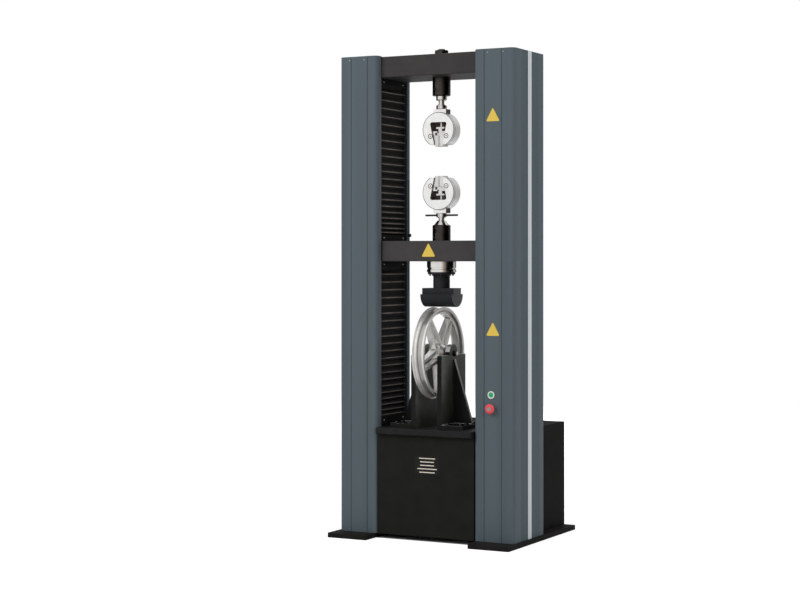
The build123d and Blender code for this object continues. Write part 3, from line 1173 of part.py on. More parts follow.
def base_bolts():
    """The hexagon bolts that hold the supports to the table."""
    bolts = []
    for x, y in base_bolt_places():
        shank = upright_rod(BASE_BOLT_RADIUS, TABLE_TOP - BASE_BOLT_SEAT, SUPPORT_BASE_TOP, x, y)
        head = Pos(x, y, SUPPORT_BASE_TOP) * extrude(RegularPolygon(BASE_BOLT_HEAD_RADIUS, 6),
                                                     amount=BASE_BOLT_HEAD)
        bolts.append(shank + head)
    return bolts


def axle_nuts():
    """The two hexagon nuts on the axle's ends."""
    hexagon = Plane.YZ * RegularPolygon(AXLE_NUT_RADIUS, 6)
    nut = Pos(SUPPORT_OUTER_X, 0, 0) * extrude(hexagon, amount=AXLE_NUT_HEIGHT)
    nut -= cross_rod(AXLE_RADIUS + BORE_FIT, SUPPORT_OUTER_X, SUPPORT_OUTER_X + AXLE_NUT_HEIGHT)
    return [at_axle(piece) for piece in both_sides(nut)]


os.makedirs("parts", exist_ok=True)

save("base_frames", *both_sides(base_frame()))
save("lower_beam", lower_beam())
save("top_beam", top_beam())
save("guide_posts", *guide_posts())
save("screw_bearings", *both_sides(screw_bearings()))
save("ball_screw_right", ball_screw())
save("ball_screw_left", mirror_x(ball_screw()))
save("drive_motor", motor())
save("motor_rotor", motor_rotor())
save("motor_bracket", motor_bracket())
save("drive_belt", drive_belt())
save("servo_drive", drive_box())

save("column_front_covers", *column_front_covers())
save("column_rear_covers", *column_rear_covers())
save("column_side_panels", *both_sides(column_side_panel()))
save("column_inserts", *both_sides(column_insert()))
save("column_caps", *both_sides(column_cap()))
save("button_bezels", *button_bezels())
save("start_button", start_button())
save("stop_head", stop_head())
save("stop_plunger", stop_plunger())
save("limit_knob", limit_knob())

save("crosshead", crosshead())
save("guide_bushes", *guide_bushes())
save("ball_nuts", *both_sides(ball_nut()))
save("fixed_brackets", *fixed_brackets())
save("moving_brackets", *moving_brackets())
save("upper_bellows", *both_sides(upper_bellows()))
save("lower_bellows", *both_sides(lower_bellows()))

save("work_table", work_table())
save("front_panel", front_panel())
save("cabinet_shell", cabinet_shell())
save("cabinet_top", cabinet_top())

upper_string()
lower_string()
save_grip("upper", UPPER_GRIP_Z, mouth_up=False, with_bars=False)
save_grip("lower", LOWER_GRIP_Z, mouth_up=True, with_bars=True)
save("draw_bolt", *draw_bolt())
save("load_cell", load_cell())
save("indenter_stem", indenter_stem())
save("indenter", indenter())

save("wheel", wheel())
save("wheel_bearings", *wheel_bearings())
save("wheel_axle", axle())
save("wheel_supports", *wheel_supports())
save("fixture_fasteners", *base_bolts(), *axle_nuts())
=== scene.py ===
import json
import math

import bmesh
import bpy
from mathutils import Matrix, Vector

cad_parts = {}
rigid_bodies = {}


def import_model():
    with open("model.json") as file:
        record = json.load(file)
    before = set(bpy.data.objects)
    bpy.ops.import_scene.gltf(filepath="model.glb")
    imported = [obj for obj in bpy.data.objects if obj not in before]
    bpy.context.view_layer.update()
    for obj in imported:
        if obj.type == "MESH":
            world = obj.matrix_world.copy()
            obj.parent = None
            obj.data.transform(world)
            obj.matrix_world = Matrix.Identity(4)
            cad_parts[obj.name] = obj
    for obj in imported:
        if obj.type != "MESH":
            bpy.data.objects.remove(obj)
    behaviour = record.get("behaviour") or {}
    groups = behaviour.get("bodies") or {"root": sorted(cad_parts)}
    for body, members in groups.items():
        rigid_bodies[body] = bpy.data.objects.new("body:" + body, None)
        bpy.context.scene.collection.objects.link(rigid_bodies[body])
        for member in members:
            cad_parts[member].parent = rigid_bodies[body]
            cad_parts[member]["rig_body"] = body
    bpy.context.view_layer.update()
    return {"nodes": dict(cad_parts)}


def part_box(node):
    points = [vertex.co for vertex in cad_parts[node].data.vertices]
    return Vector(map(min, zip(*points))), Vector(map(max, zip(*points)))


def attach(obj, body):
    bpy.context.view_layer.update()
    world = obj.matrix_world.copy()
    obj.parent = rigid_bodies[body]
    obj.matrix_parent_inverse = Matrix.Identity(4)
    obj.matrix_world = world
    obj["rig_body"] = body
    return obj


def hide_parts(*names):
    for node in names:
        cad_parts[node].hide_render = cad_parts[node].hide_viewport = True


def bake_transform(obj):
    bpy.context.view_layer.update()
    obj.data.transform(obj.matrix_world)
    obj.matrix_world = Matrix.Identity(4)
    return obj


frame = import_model()
nodes = frame["nodes"]


# Camera
# It stands level, just under the crosshead's height, to the right of the front and well back, with a
# long lens. The picture is shifted so that the horizon lies a little above its middle.
camera_data = bpy.data.cameras.new("camera")
camera_data.sensor_width = 36
camera_data.lens = 80.99
camera_data.shift_y = -0.0479
camera_data.clip_end = 60
camera = bpy.data.objects.new("camera", camera_data)
camera.location = (4.2393, -8.4545, 1.4454)
camera.rotation_euler = (math.radians(90), 0, math.radians(27.953))
bpy.context.scene.collection.objects.link(camera)
bpy.context.scene.camera = camera
bpy.context.scene.view_settings.view_transform = "Standard"


# Room
# White seamless paper under and behind the machine, lit by the sky of a white studio. The paper is
# white to the eye wherever no shadow falls on it, but not under the machine itself.
def linear(hex_colour):
    """An sRGB hex colour as linear red, green, blue and alpha."""
    channels = [int(hex_colour[place:place + 2], 16) / 255 for place in (1, 3, 5)]
    return [c / 12.92 if c <= 0.04045 else ((c + 0.055) / 1.055) ** 2.4 for c in channels] + [1]


def add(tree, kind, inputs=None, **settings):
    """One node with its settings, and its inputs as values or as other nodes' outputs."""
    node = tree.nodes.new(kind)
    for name, value in settings.items():
        setattr(node, name, value)
    for socket, value in (inputs or {}).items():
        if isinstance(value, bpy.types.NodeSocket):
            tree.links.new(value, node.inputs[socket])
        else:
            node.inputs[socket].default_value = value
    return node


PAPER_HALF_WIDTH = 9
PAPER_GLOW = 0.72
UNDER_HALF_WIDTH = 0.44
UNDER_MIDDLE_Y = 0.195
UNDER_HALF_DEPTH = 0.375
paper = bpy.data.materials.new("seamless_paper")
paper.use_nodes = True
tree = paper.node_tree
tree.nodes.clear()
seen = add(tree, "ShaderNodeLightPath")
spot = add(tree, "ShaderNodeSeparateXYZ", {0: add(tree, "ShaderNodeNewGeometry").outputs["Position"]})
off_centre = add(tree, "ShaderNodeMath", {0: spot.outputs[0]}, operation="ABSOLUTE")
beside = add(tree, "ShaderNodeMath", {0: off_centre.outputs[0], 1: UNDER_HALF_WIDTH},
             operation="GREATER_THAN")
off_back = add(tree, "ShaderNodeMath", {0: spot.outputs[1], 1: UNDER_MIDDLE_Y}, operation="SUBTRACT")
far_off = add(tree, "ShaderNodeMath", {0: off_back.outputs[0]}, operation="ABSOLUTE")
clear = add(tree, "ShaderNodeMath", {0: far_off.outputs[0], 1: UNDER_HALF_DEPTH}, operation="GREATER_THAN")
outside = add(tree, "ShaderNodeMath", {0: beside.outputs[0], 1: clear.outputs[0]}, operation="MAXIMUM")
glow_level = add(tree, "ShaderNodeMath", {0: outside.outputs[0], 1: PAPER_GLOW}, operation="MULTIPLY")
glow = add(tree, "ShaderNodeEmission", {"Color": linear("#FFFFFF"), "Strength": glow_level.outputs[0]})
matt = add(tree, "ShaderNodeBsdfDiffuse", {"Color": linear("#D2D2D2")})
lit = add(tree, "ShaderNodeAddShader", {0: glow.outputs[0], 1: matt.outputs[0]})
either = add(tree, "ShaderNodeMixShader",
             {0: seen.outputs["Is Camera Ray"], 1: matt.outputs[0], 2: lit.outputs[0]})
add(tree, "ShaderNodeOutputMaterial", {"Surface": either.outputs[0]})
paper_mesh = bpy.data.meshes.new("paper")
paper_mesh.from_pydata([(x * PAPER_HALF_WIDTH, y * PAPER_HALF_WIDTH, 0)
                        for x, y in ((-1, -1), (1, -1), (1, 1), (-1, 1))], [], [(0, 1, 2, 3)])
paper_mesh.materials.append(paper)
floor = bpy.data.objects.new("paper", paper_mesh)
bpy.context.scene.collection.objects.link(floor)

# Bare metal mirrors the studio: white walls to the left and overhead, the warm floor boards of the room
# in front, and black flags to the right, which give turned steel its dark and bright bands. Each wall is
# a bearing in degrees from straight ahead, with its colour.
SKY_LEVEL = 0.47
AHEAD = (0.469, -0.883, 0)
ASIDE = (0.883, 0.469, 0)
WALLS = [(-180, "#6E6E6E"), (-140, "#6E6E6E"), (-114, "#F4F4F4"), (-8, "#F6F5F4"), (6, "#D9CFC8"),
         (16, "#A28E82"), (30, "#7E6A60"), (40, "#1C1C1C"), (95, "#1C1C1C"), (110, "#B4B1AE"),
         (134, "#B4B1AE"), (152, "#3C3C3C"), (180, "#6E6E6E")]
sky = bpy.data.worlds.new("white_studio")
sky.use_nodes = True
tree = sky.node_tree
tree.nodes.clear()
toward = add(tree, "ShaderNodeTexCoord").outputs["Generated"]
ahead = add(tree, "ShaderNodeVectorMath", {0: toward, 1: AHEAD}, operation="DOT_PRODUCT")
aside = add(tree, "ShaderNodeVectorMath", {0: toward, 1: ASIDE}, operation="DOT_PRODUCT")
bearing = add(tree, "ShaderNodeMath", {0: aside.outputs["Value"], 1: ahead.outputs["Value"]},
              operation="ARCTAN2")
round_share = add(tree, "ShaderNodeMapRange", {0: bearing.outputs[0], 1: -math.pi, 2: math.pi})
walls = add(tree, "ShaderNodeValToRGB", {0: round_share.outputs[0]})
for index, (bearing_degrees, wall_hex) in enumerate(WALLS):
    share = (bearing_degrees + 180) / 360
    if 0 < index < len(WALLS) - 1:
        stop = walls.color_ramp.elements.new(share)
    else:
        stop = walls.color_ramp.elements[0 if index == 0 else -1]
        stop.position = share
    stop.color = linear(wall_hex)
height = add(tree, "ShaderNodeSeparateXYZ", {0: toward})
overhead = add(tree, "ShaderNodeMapRange", {0: height.outputs[2], 1: 0.2, 2: 0.6})
mirrored = add(tree, "ShaderNodeMix", {0: overhead.outputs[0], 6: walls.outputs[0], 7: linear("#EEEEEE")},
               data_type="RGBA")
looked = add(tree, "ShaderNodeLightPath")
straight = add(tree, "ShaderNodeMath",
               {0: looked.outputs["Is Camera Ray"], 1: looked.outputs["Is Transmission Ray"]},
               operation="MAXIMUM")
level = add(tree, "ShaderNodeMapRange", {0: straight.outputs[0], 3: SKY_LEVEL, 4: 1.0})
white = add(tree, "ShaderNodeBackground", {"Color": linear("#FFFFFF"), "Strength": level.outputs[0]})
room = add(tree, "ShaderNodeBackground", {"Color": mirrored.outputs[2], "Strength": 1.0})
either = add(tree, "ShaderNodeMixShader",
             {0: looked.outputs["Is Glossy Ray"], 1: white.outputs[0], 2: room.outputs[0]})
add(tree, "ShaderNodeOutputWorld", {"Surface": either.outputs[0]})
bpy.context.scene.world = sky

LIGHTS_AIM = (0, 0, 1.2)


def soft_box(name, place, width, watts):
    """A square studio light that faces the machine's middle and is not mirrored in it."""
    lamp = bpy.data.lights.new(name, "AREA")
    lamp.size = width
    lamp.energy = watts
    holder = bpy.data.objects.new(name, lamp)
    holder.location = place
    holder.rotation_euler = (Vector(LIGHTS_AIM) - Vector(place)).to_track_quat("-Z", "Y").to_euler()
    holder.visible_glossy = False
    bpy.context.scene.collection.objects.link(holder)


soft_box("key_light", (-4.4, -6.4, 5.6), 4.6, 330)
soft_box("side_light", (6.2, -1.8, 3.6), 3.6, 125)
soft_box("back_light", (-2.4, 6.8, 4.4), 4.0, 210)


# Machine shop finishes
# Every hard piece comes off a machine or out of a press with its edges broken. A finished copy of the
# solid has them rounded by that much and its faces shaded flat and smooth as the real ones are.

# Lengths are in mm from here on, and MM turns them into metres.
MM = 0.001
SAME_POINT = 0.002
FLAT_DEGREES = 0.6


def finished(node, edge_mm, material, segments=2, sharp_degrees=28, others=(), chosen=None):
    """A copy of a node's solid with its edges broken, in its material, in the node's place.

    chosen(centre in mm, direction) is 0 for a face in that material, or 1 and up for one of the others.
    """
    source = nodes[node]
    shape = bmesh.new()
    shape.from_mesh(source.data)
    bmesh.ops.remove_doubles(shape, verts=shape.verts, dist=SAME_POINT * MM)
    bmesh.ops.dissolve_limit(shape, angle_limit=math.radians(FLAT_DEGREES), verts=shape.verts,
                             edges=shape.edges)
    shape.verts.index_update()
    mesh = bpy.data.meshes.new(node + "_finished")
    mesh.from_pydata([v.co.copy() for v in shape.verts], [],
                     [[v.index for v in face.verts] for face in shape.faces])
    shape.free()
    mesh.shade_smooth()
    for coat in (material, *others):
        mesh.materials.append(coat)
    if others:
        for face in mesh.polygons:
            face.material_index = int(chosen(face.center / MM, face.normal))
    piece = bpy.data.objects.new(mesh.name, mesh)
    bpy.context.scene.collection.objects.link(piece)
    mesh.set_sharp_from_angle(angle=math.radians(sharp_degrees))
    if edge_mm:
        rounding = piece.modifiers.new("broken_edges", "BEVEL")
        rounding.width = edge_mm * MM
        rounding.segments = segments
        rounding.limit_method = "ANGLE"
        rounding.angle_limit = math.radians(sharp_degrees)
        rounding.use_clamp_overlap = True
        rounding.miter_outer = "MITER_ARC"
        shading = piece.modifiers.new("flat_faces", "WEIGHTED_NORMAL")
        shading.keep_sharp = False
        shading.weight = 80
    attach(piece, source["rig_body"])
    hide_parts(node)


def new_material(name):
    """An empty material with its surface shader, to be filled in by the section that names it."""
    material = bpy.data.materials.new(name)
    material.use_nodes = True
    tree = material.node_tree
    return material, tree, tree.nodes["Principled BSDF"]


def mottled(name, first_hex, second_hex, roughness, scale, detail, stretch=None, ior=None, metallic=0.0):
    """A material whose colour wanders between two near tones, as the colour of most real surfaces does."""
    material, tree, surface = new_material(name)
    place = add(tree, "ShaderNodeTexCoord").outputs["Object"]
    if stretch:
        place = add(tree, "ShaderNodeMapping", {"Vector": place, "Scale": stretch}).outputs[0]
    wander = add(tree, "ShaderNodeTexNoise", {"Vector": place, "Scale": scale, "Detail": detail})
    colour = add(tree, "ShaderNodeMix", {0: wander.outputs[0], 6: linear(first_hex), 7: linear(second_hex)},
                 data_type="RGBA")
    tree.links.new(colour.outputs[2], surface.inputs["Base Color"])
    surface.inputs["Roughness"].default_value = roughness
    surface.inputs["Metallic"].default_value = metallic
    if ior:
        surface.inputs["IOR"].default_value = ior
    return material


def powder_coat(name, body_hex, fleck_hex, roughness, bump_mm, grain_mm, streak=1.0, ior=1.5):
    """Baked powder paint: a fine orange peel, faint uneven tone and a soft sheen."""
    material, tree, surface = new_material(name)
    place = add(tree, "ShaderNodeTexCoord").outputs["Object"]
    along = add(tree, "ShaderNodeMapping", {"Vector": place, "Scale": (1, 1, 1 / streak)}).outputs[0]
    peel = add(tree, "ShaderNodeTexNoise", {"Vector": place, "Scale": 1 / (grain_mm * MM), "Detail": 3.0})
    cloud = add(tree, "ShaderNodeTexNoise", {"Vector": along, "Scale": 14.0, "Detail": 5.0})
    tone = add(tree, "ShaderNodeMapRange", {0: cloud.outputs[0], 1: 0.3, 2: 0.7})
    colour = add(tree, "ShaderNodeMix", {0: tone.outputs[0], 6: linear(body_hex), 7: linear(fleck_hex)},
                 data_type="RGBA")
    tree.links.new(colour.outputs[2], surface.inputs["Base Color"])
    gloss = add(tree, "ShaderNodeMapRange", {0: peel.outputs[0], 3: roughness - 0.06, 4: roughness + 0.06})
    tree.links.new(gloss.outputs[0], surface.inputs["Roughness"])
    bump = add(tree, "ShaderNodeBump", {"Height": peel.outputs[0], "Distance": bump_mm * MM, "Strength": 0.6})
    tree.links.new(bump.outputs[0], surface.inputs["Normal"])
    surface.inputs["IOR"].default_value = ior
    return material


def box_mm(node):
    """A node's box, as its low and high corners in mm."""
    return [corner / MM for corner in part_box(node)]


def meshed(name, shape, materials, smooth_degrees):
    """An object from a mesh in mm, smooth but for the edges that are sharper than an angle."""
    bmesh.ops.scale(shape, vec=(MM, MM, MM), verts=shape.verts)
    bmesh.ops.recalc_face_normals(shape, faces=shape.faces)
    mesh = bpy.data.meshes.new(name)
    shape.to_mesh(mesh)
    shape.free()
    mesh.shade_smooth()
    mesh.set_sharp_from_angle(angle=math.radians(smooth_degrees))
    for material in materials:
        mesh.materials.append(material)
    piece = bpy.data.objects.new(name, mesh)
    bpy.context.scene.collection.objects.link(piece)
    return piece


def built(name, shape, material, body, smooth_degrees=30):
    """An added piece from a mesh in mm, in its material, on its body."""
    piece = meshed(name, shape, [material], smooth_degrees)
    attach(piece, body)


def turned(shape, outline, foot, along, steps=24):
    """Adds a closed turned form: outline is pairs of radius and distance from its foot, along its axis."""
    turn = Vector((0, 0, 1)).rotation_difference(Vector(along)).to_matrix()
    rings = []
    for radius, rise in outline:
        angles = [0] if radius == 0 else [2 * math.pi * step / steps for step in range(steps)]
        rings.append([shape.verts.new(turn @ Vector((radius * math.cos(a), radius * math.sin(a), rise))
                                      + Vector(foot)) for a in angles])
    for lower, upper in zip(rings, rings[1:]):
        for step in range(steps):
            after = (step + 1) % steps
            corners = [lower[0]] if len(lower) == 1 else [lower[step], lower[after]]
            corners += [upper[0]] if len(upper) == 1 else [upper[after], upper[step]]
            if len(corners) > 2:
                shape.faces.new(corners)


def sheet_plate(shape, outline, front_y, thickness, edge):
    """Adds a thin plate on a face that looks to the front, with its front edge broken."""
    middle = Vector((sum(x for x, z in outline), sum(z for x, z in outline))) / len(outline)
    rings = []
    for y, inset in ((front_y, 0), (front_y - thickness + edge, 0), (front_y - thickness, edge)):
        ring = []
        for point in outline:
            inward = (middle - Vector(point)).normalized() * inset
            ring.append(shape.verts.new((point[0] + inward.x, y, point[1] + inward.y)))
        rings.append(ring)
    for back, fore in zip(rings, rings[1:]):
        for index in range(len(outline)):
            after = (index + 1) % len(outline)
            shape.faces.new([back[index], back[after], fore[after], fore[index]])
    shape.faces.new(rings[0])
    shape.faces.new(rings[-1])


# Columns
# Tall extruded profiles, powder coated in a blue grey, closed at the side by a flat panel of the same colour;
# the panel's copy of the coat is painted a shade darker, as painted shade. The die leaves long faint lines up
# the faces, seen as soft vertical streaks.
column_paint = powder_coat("powder_coated_extrusion", "#545F65", "#5A666C", 0.48, 0.05, 0.9, 60, 1.3)
shaded_column_panel_paint = powder_coat("shaded_powder_coated_panel", "#4D5A60", "#526066", 0.5, 0.05, 0.9, 60, 1.3)
for node in ("column_front_covers", "column_rear_covers"):
    finished(node, 0.8, column_paint)
finished("column_side_panels", 0.8, shaded_column_panel_paint)
finished("column_caps", 0.8, column_paint)


# Pale side strips
# A long strip of light grey ABS pressed into the channel of each side panel. It is extruded, matt, and
# a little uneven in tone along its length.
strip = mottled("extruded_grey_abs", "#CDD3D7", "#D9DEE1", 0.5, 2.0, 3.0, stretch=(1, 300, 0.6), ior=1.53)
finished("column_inserts", 0.4, strip)

# A thin black lip lies along both edges of each strip, as painted shade for the narrow grooves there.
groove_shade_lip = mottled("black_groove_shade_lip", "#20262A", "#2C3438", 0.7, 90.0, 4.0)
LIP_WIDTH = 2.2
LIP_DEPTH = 1.2
LIP_PROUD = 0.4
LIP_EDGE = 0.3
strip_low, strip_high = box_mm("column_inserts")
for side, side_name in ((-1, "left"), (1, "right")):
    shape = bmesh.new()
    for edge_y in (strip_low.y, strip_high.y):
        box = bmesh.ops.create_cube(shape, size=1)
        spread = Matrix.Diagonal((LIP_DEPTH, LIP_WIDTH, strip_high.z - strip_low.z, 1))
        where = Matrix.Translation((side * (strip_high.x + LIP_PROUD - LIP_DEPTH / 2), edge_y,
                                    (strip_low.z + strip_high.z) / 2))
        bmesh.ops.transform(shape, matrix=where @ spread, verts=box["verts"])
    bmesh.ops.bevel(shape, geom=shape.edges[:], offset=LIP_EDGE, segments=2, affect="EDGES")
    built(f"strip_lips_{side_name}", shape, groove_shade_lip, "frame")


# Beams
# The top beam and the crosshead are steel boxes in a warm charcoal powder coat, a shade glossier than
# the columns, with their long edges rounded in the solid.
beam_paint = powder_coat("charcoal_powder_coat", "#3D3A3A", "#434040", 0.44, 0.06, 1.1, ior=1.3)
# The top beam's copy of the coat is a shade darker: painted shade against the stronger light from overhead.
shaded_top_paint = powder_coat("shaded_charcoal_powder_coat", "#3B3838", "#413E3E", 0.46, 0.06, 1.1, ior=1.25)
finished("top_beam", 1.2, shaded_top_paint)
finished("crosshead", 1.2, beam_paint)


# Base, table and cabinet
# Foot plates, legs, lower beam and the sheet metal under and behind the table, all in one black
# textured powder coat that shows grey only where it mirrors the room.
black_coat = powder_coat("black_textured_powder_coat", "#161615", "#1B1B1A", 0.5, 0.08, 1.0, ior=1.1)
base_coat = powder_coat("black_floor_plate_paint", "#21201F", "#282726", 0.5, 0.08, 1.0, ior=1.1)
finished("base_frames", 1.0, base_coat)
for node in ("lower_beam", "motor_bracket", "drive_motor", "servo_drive"):
    finished(node, 1.0, black_coat)
table_coat = powder_coat("black_satin_table_paint", "#1E1E1E", "#272727", 0.38, 0.05, 1.2, ior=1.2)
finished("work_table", 1.2, table_coat)
panel_coat = powder_coat("black_front_panel_coat", "#222220", "#262624", 0.5, 0.08, 1.0, ior=1.1)
finished("front_panel", 0.6, panel_coat)
for node in ("cabinet_shell", "cabinet_top"):
    finished(node, 0.6, black_coat)
for node in ("fixed_brackets", "moving_brackets"):
    finished(node, 0.5, black_coat)

# Bright pan-head screws hold the end plates of the bellows, two to a plate, and small ones of the same
# zinc plated steel hold each column's front just under its cap. The cabinet's lid has them round its rim.
zinc_and_painted_highlight = mottled("zinc_plated_screw_and_painted_highlight", "#D9DCDD", "#B9BDBF", 0.3, 700.0, 3.0, metallic=1.0)


def pan_head(shape, radius, foot, along):
    """Adds a screw's domed head with its socket."""
    outline = [(0, 0), (radius, 0), (radius, 0.25 * radius), (0.86 * radius, 0.48 * radius),
               (0.6 * radius, 0.62 * radius), (0.42 * radius, 0.65 * radius), (0.36 * radius, 0.3 * radius),
               (0, 0.3 * radius)]
    turned(shape, outline, foot, along, 16)


BRACKET_WALL_X = 286.0
BRACKET_SCREW_Y = 107
BRACKET_SCREW_RADIUS = 4.6
FIXED_SCREW_Z = (2394, 609)
MOVING_SCREW_Z = (1571, 1432)
for name, body, heights in (("fixed_bracket_screws", "frame", FIXED_SCREW_Z),
                            ("moving_bracket_screws", "crosshead", MOVING_SCREW_Z)):
    shape = bmesh.new()
    for side in (-1, 1):
        for z in heights:
            for y in (-BRACKET_SCREW_Y, BRACKET_SCREW_Y):
                pan_head(shape, BRACKET_SCREW_RADIUS, (side * BRACKET_WALL_X, y, z), (-side, 0, 0))
    built(name, shape, zinc_and_painted_highlight, body)

COLUMN_FACE_Y = round(box_mm("column_rear_covers")[1].y, 1)
COLUMN_SCREW_X = (358, 444)
COLUMN_SCREW_Z = 2506
COLUMN_SCREW_RADIUS = 3.4
for side, side_name in ((-1, "left"), (1, "right")):
    shape = bmesh.new()
    for x in COLUMN_SCREW_X:
        for turn in (-1, 1):
            foot = (side * x, turn * COLUMN_FACE_Y, COLUMN_SCREW_Z)
            pan_head(shape, COLUMN_SCREW_RADIUS, foot, (0, turn, 0))
    built(f"column_screws_{side_name}", shape, zinc_and_painted_highlight, "frame")

LID_SCREW_RADIUS = 4.0
LID_SCREW_INSET = 14
LID_SCREW_SPACES = 4
LID_SCREW_SEAT = 0.05
FRONT_SCREW_INSET = LID_SCREW_INSET + 30
BEHIND_COLUMN_X = 290
lid_low, lid_high = box_mm("cabinet_top")
lid_run = (lid_high.x - lid_low.x - 2 * LID_SCREW_INSET) / LID_SCREW_SPACES
screw_z = lid_high.z - LID_SCREW_SEAT
shape = bmesh.new()
for x in [lid_low.x + LID_SCREW_INSET + step * lid_run for step in range(LID_SCREW_SPACES + 1)]:
    pan_head(shape, LID_SCREW_RADIUS, (x, lid_high.y - LID_SCREW_INSET, screw_z), (0, 0, 1))
    if abs(x) > BEHIND_COLUMN_X:
        pan_head(shape, LID_SCREW_RADIUS, (x, lid_low.y + FRONT_SCREW_INSET, screw_z), (0, 0, 1))
built("cabinet_lid_screws", shape, zinc_and_painted_highlight, "frame")

# A bare plate of black anodised aluminium is riveted to the front panel, with plain pale rules to write on.
PLATE_MIDDLE = (12, 394)
PLATE_HALF = (70, 48)
PLATE_THICKNESS = 0.8
PLATE_EDGE = 0.3
RULE_HALF_LENGTHS = (46, 40, 40, 56, 44)
RULE_HALF_HEIGHT = 2.4
RULE_PITCH = 18
INK_THICKNESS = 0.15
INK_EDGE = 0.05
PANEL_FACE_Y = round(box_mm("front_panel")[0].y, 1)


def oblong(x, z, half_width, half_height):
    """The outline of an upright oblong about its middle."""
    return [(x + across * half_width, z + up * half_height)
            for across, up in ((-1, -1), (1, -1), (1, 1), (-1, 1))]


plate_black = mottled("black_anodised_plate", "#1F1F1E", "#272726", 0.5, 4.0, 2.0,
                      stretch=(6, 1, 300), ior=1.2)
shape = bmesh.new()
sheet_plate(shape, oblong(*PLATE_MIDDLE, *PLATE_HALF), PANEL_FACE_Y, PLATE_THICKNESS, PLATE_EDGE)
built("bare_plate", shape, plate_black, "frame")
rule_ink = mottled("cream_screen_ink", "#FFF6E8", "#D8CCBA", 0.6, 400.0, 3.0)
shape = bmesh.new()
for row, half_length in enumerate(RULE_HALF_LENGTHS):
    z = PLATE_MIDDLE[1] + (2 - row) * RULE_PITCH
    sheet_plate(shape, oblong(PLATE_MIDDLE[0], z, half_length, RULE_HALF_HEIGHT),
                PANEL_FACE_Y - PLATE_THICKNESS, INK_THICKNESS, INK_EDGE)
built("plate_rules", shape, rule_ink, "frame")


# Ground and turned steel
# Shafts, posts, screws and the grips are bare steel. Turning and grinding leave fine lines round or
# along the piece, seen as a soft stretched sheen.
def bare_steel(name, hex_colour, worn_hex, roughness, line_mm, stretch):
    """Bare machined steel with fine tool lines; stretch says how much longer they are along each axis."""
    material, tree, surface = new_material(name)
    place = add(tree, "ShaderNodeTexCoord").outputs["Object"]
    drawn = add(tree, "ShaderNodeMapping", {"Vector": place, "Scale": [1 / s for s in stretch]}).outputs[0]
    lines = add(tree, "ShaderNodeTexNoise", {"Vector": drawn, "Scale": 1 / (line_mm * MM), "Detail": 2.0})
    blotches = add(tree, "ShaderNodeTexNoise", {"Vector": place, "Scale": 30.0, "Detail": 6.0})
    tone = add(tree, "ShaderNodeMapRange", {0: blotches.outputs[0], 1: 0.35, 2: 0.75})
    colour = add(tree, "ShaderNodeMix", {0: tone.outputs[0], 6: linear(hex_colour), 7: linear(worn_hex)},
                 data_type="RGBA")
    tree.links.new(colour.outputs[2], surface.inputs["Base Color"])
    gloss = add(tree, "ShaderNodeMapRange", {0: lines.outputs[0], 3: roughness - 0.07, 4: roughness + 0.09})
    tree.links.new(gloss.outputs[0], surface.inputs["Roughness"])
    bump = add(tree, "ShaderNodeBump", {"Height": lines.outputs[0], "Distance": 0.02 * MM, "Strength": 0.5})
    tree.links.new(bump.outputs[0], surface.inputs["Normal"])
    surface.inputs["Metallic"].default_value = 1.0
    return material


shaft_steel = bare_steel("ground_shaft_steel", "#A9ABAC", "#9A9C9D", 0.28, 0.6, (1, 1, 0.4))
for node in ("guide_posts", "ball_screw_left", "ball_screw_right", "guide_bushes", "ball_nuts",
             "motor_rotor"):
    finished(node, 0.4, shaft_steel)
bright_steel = bare_steel("bright_satin_steel", "#E6E6E4", "#CFCFCC", 0.26, 0.8, (8, 8, 1))
polished_steel = bare_steel("polished_turned_steel", "#E6E5E3", "#D5D3D0", 0.14, 0.9, (10, 10, 1))
finished("wheel_axle", 0.4, polished_steel)
finished("load_cell", 0.6, polished_steel)
finished("upper_lock_nut", 0.4, polished_steel)
finished("lower_lock_nut", 0.4, polished_steel)


# Blackened steel
# Adapters, the draw bolt, screws and nuts are turned steel with a black oxide finish: nearly black, but
# slick, so that they mirror the room in narrow streaks. The indenter's oxide is dull, and its end faces are
# painted light grey, as painted light on ends that the lamps hardly reach.
black_oxide_and_painted_shade = bare_steel("black_oxide_steel_and_painted_shade", "#4A4644", "#37332F", 0.24, 0.9, (8, 8, 1))
dull_oxide = powder_coat("dull_black_oxide", "#27282A", "#2F3032", 0.55, 0.05, 1.2, ior=1.25)
for node in ("upper_adapter", "lower_adapter", "draw_bolt", "screw_bearings", "wheel_bearings"):
    finished(node, 0.7, black_oxide_and_painted_shade)
finished("fixture_fasteners", 0.5, black_oxide_and_painted_shade)
STEEP = 0.9
painted_light_end_oxide = powder_coat("black_oxide_with_painted_light_ends", "#9EA0A2", "#86888A", 0.5, 0.06, 1.6, ior=1.3)
finished("indenter_stem", 0.9, dull_oxide)
finished("indenter", 0.9, dull_oxide, others=(painted_light_end_oxide,),
         chosen=lambda centre, direction: abs(direction.x) > STEEP)
FLANGE_SCREW_COUNT = 8
FLANGE_SCREW_CIRCLE = 60
FLANGE_UNDERSIDE_Z = 1379
CAP_SCREW = [(0, 0), (5, 0), (5, 7.2), (4.4, 8), (2.6, 8), (2.6, 4), (0, 4)]
shape = bmesh.new()
for step in range(FLANGE_SCREW_COUNT):
    angle = 2 * math.pi * (step + 0.5) / FLANGE_SCREW_COUNT
    foot = (FLANGE_SCREW_CIRCLE * math.cos(angle), FLANGE_SCREW_CIRCLE * math.sin(angle), FLANGE_UNDERSIDE_Z)
    turned(shape, CAP_SCREW, foot, (0, 0, -1), 18)
built("load_flange_screws", shape, black_oxide_and_painted_shade, "crosshead")


# Grips
# Wedge grips of bright machined steel, with their faces turned on a lathe, which leaves faint rings about
# the middle; broad rings of painted sheen lie in their tone, and a ring of painted shade darkens each front
# face's rim. The pocket and the window that the jaws slide in are oiled, and painted a light brownish grey
# as painted light in their shade. The neck's flanks are painted black, as painted shade.
TOOL_FEED = 2.4
SHEEN_BAND = 26
RIM_SHADE_RADIUS = 90.5
RIM_SHADE_HALF = 1.9


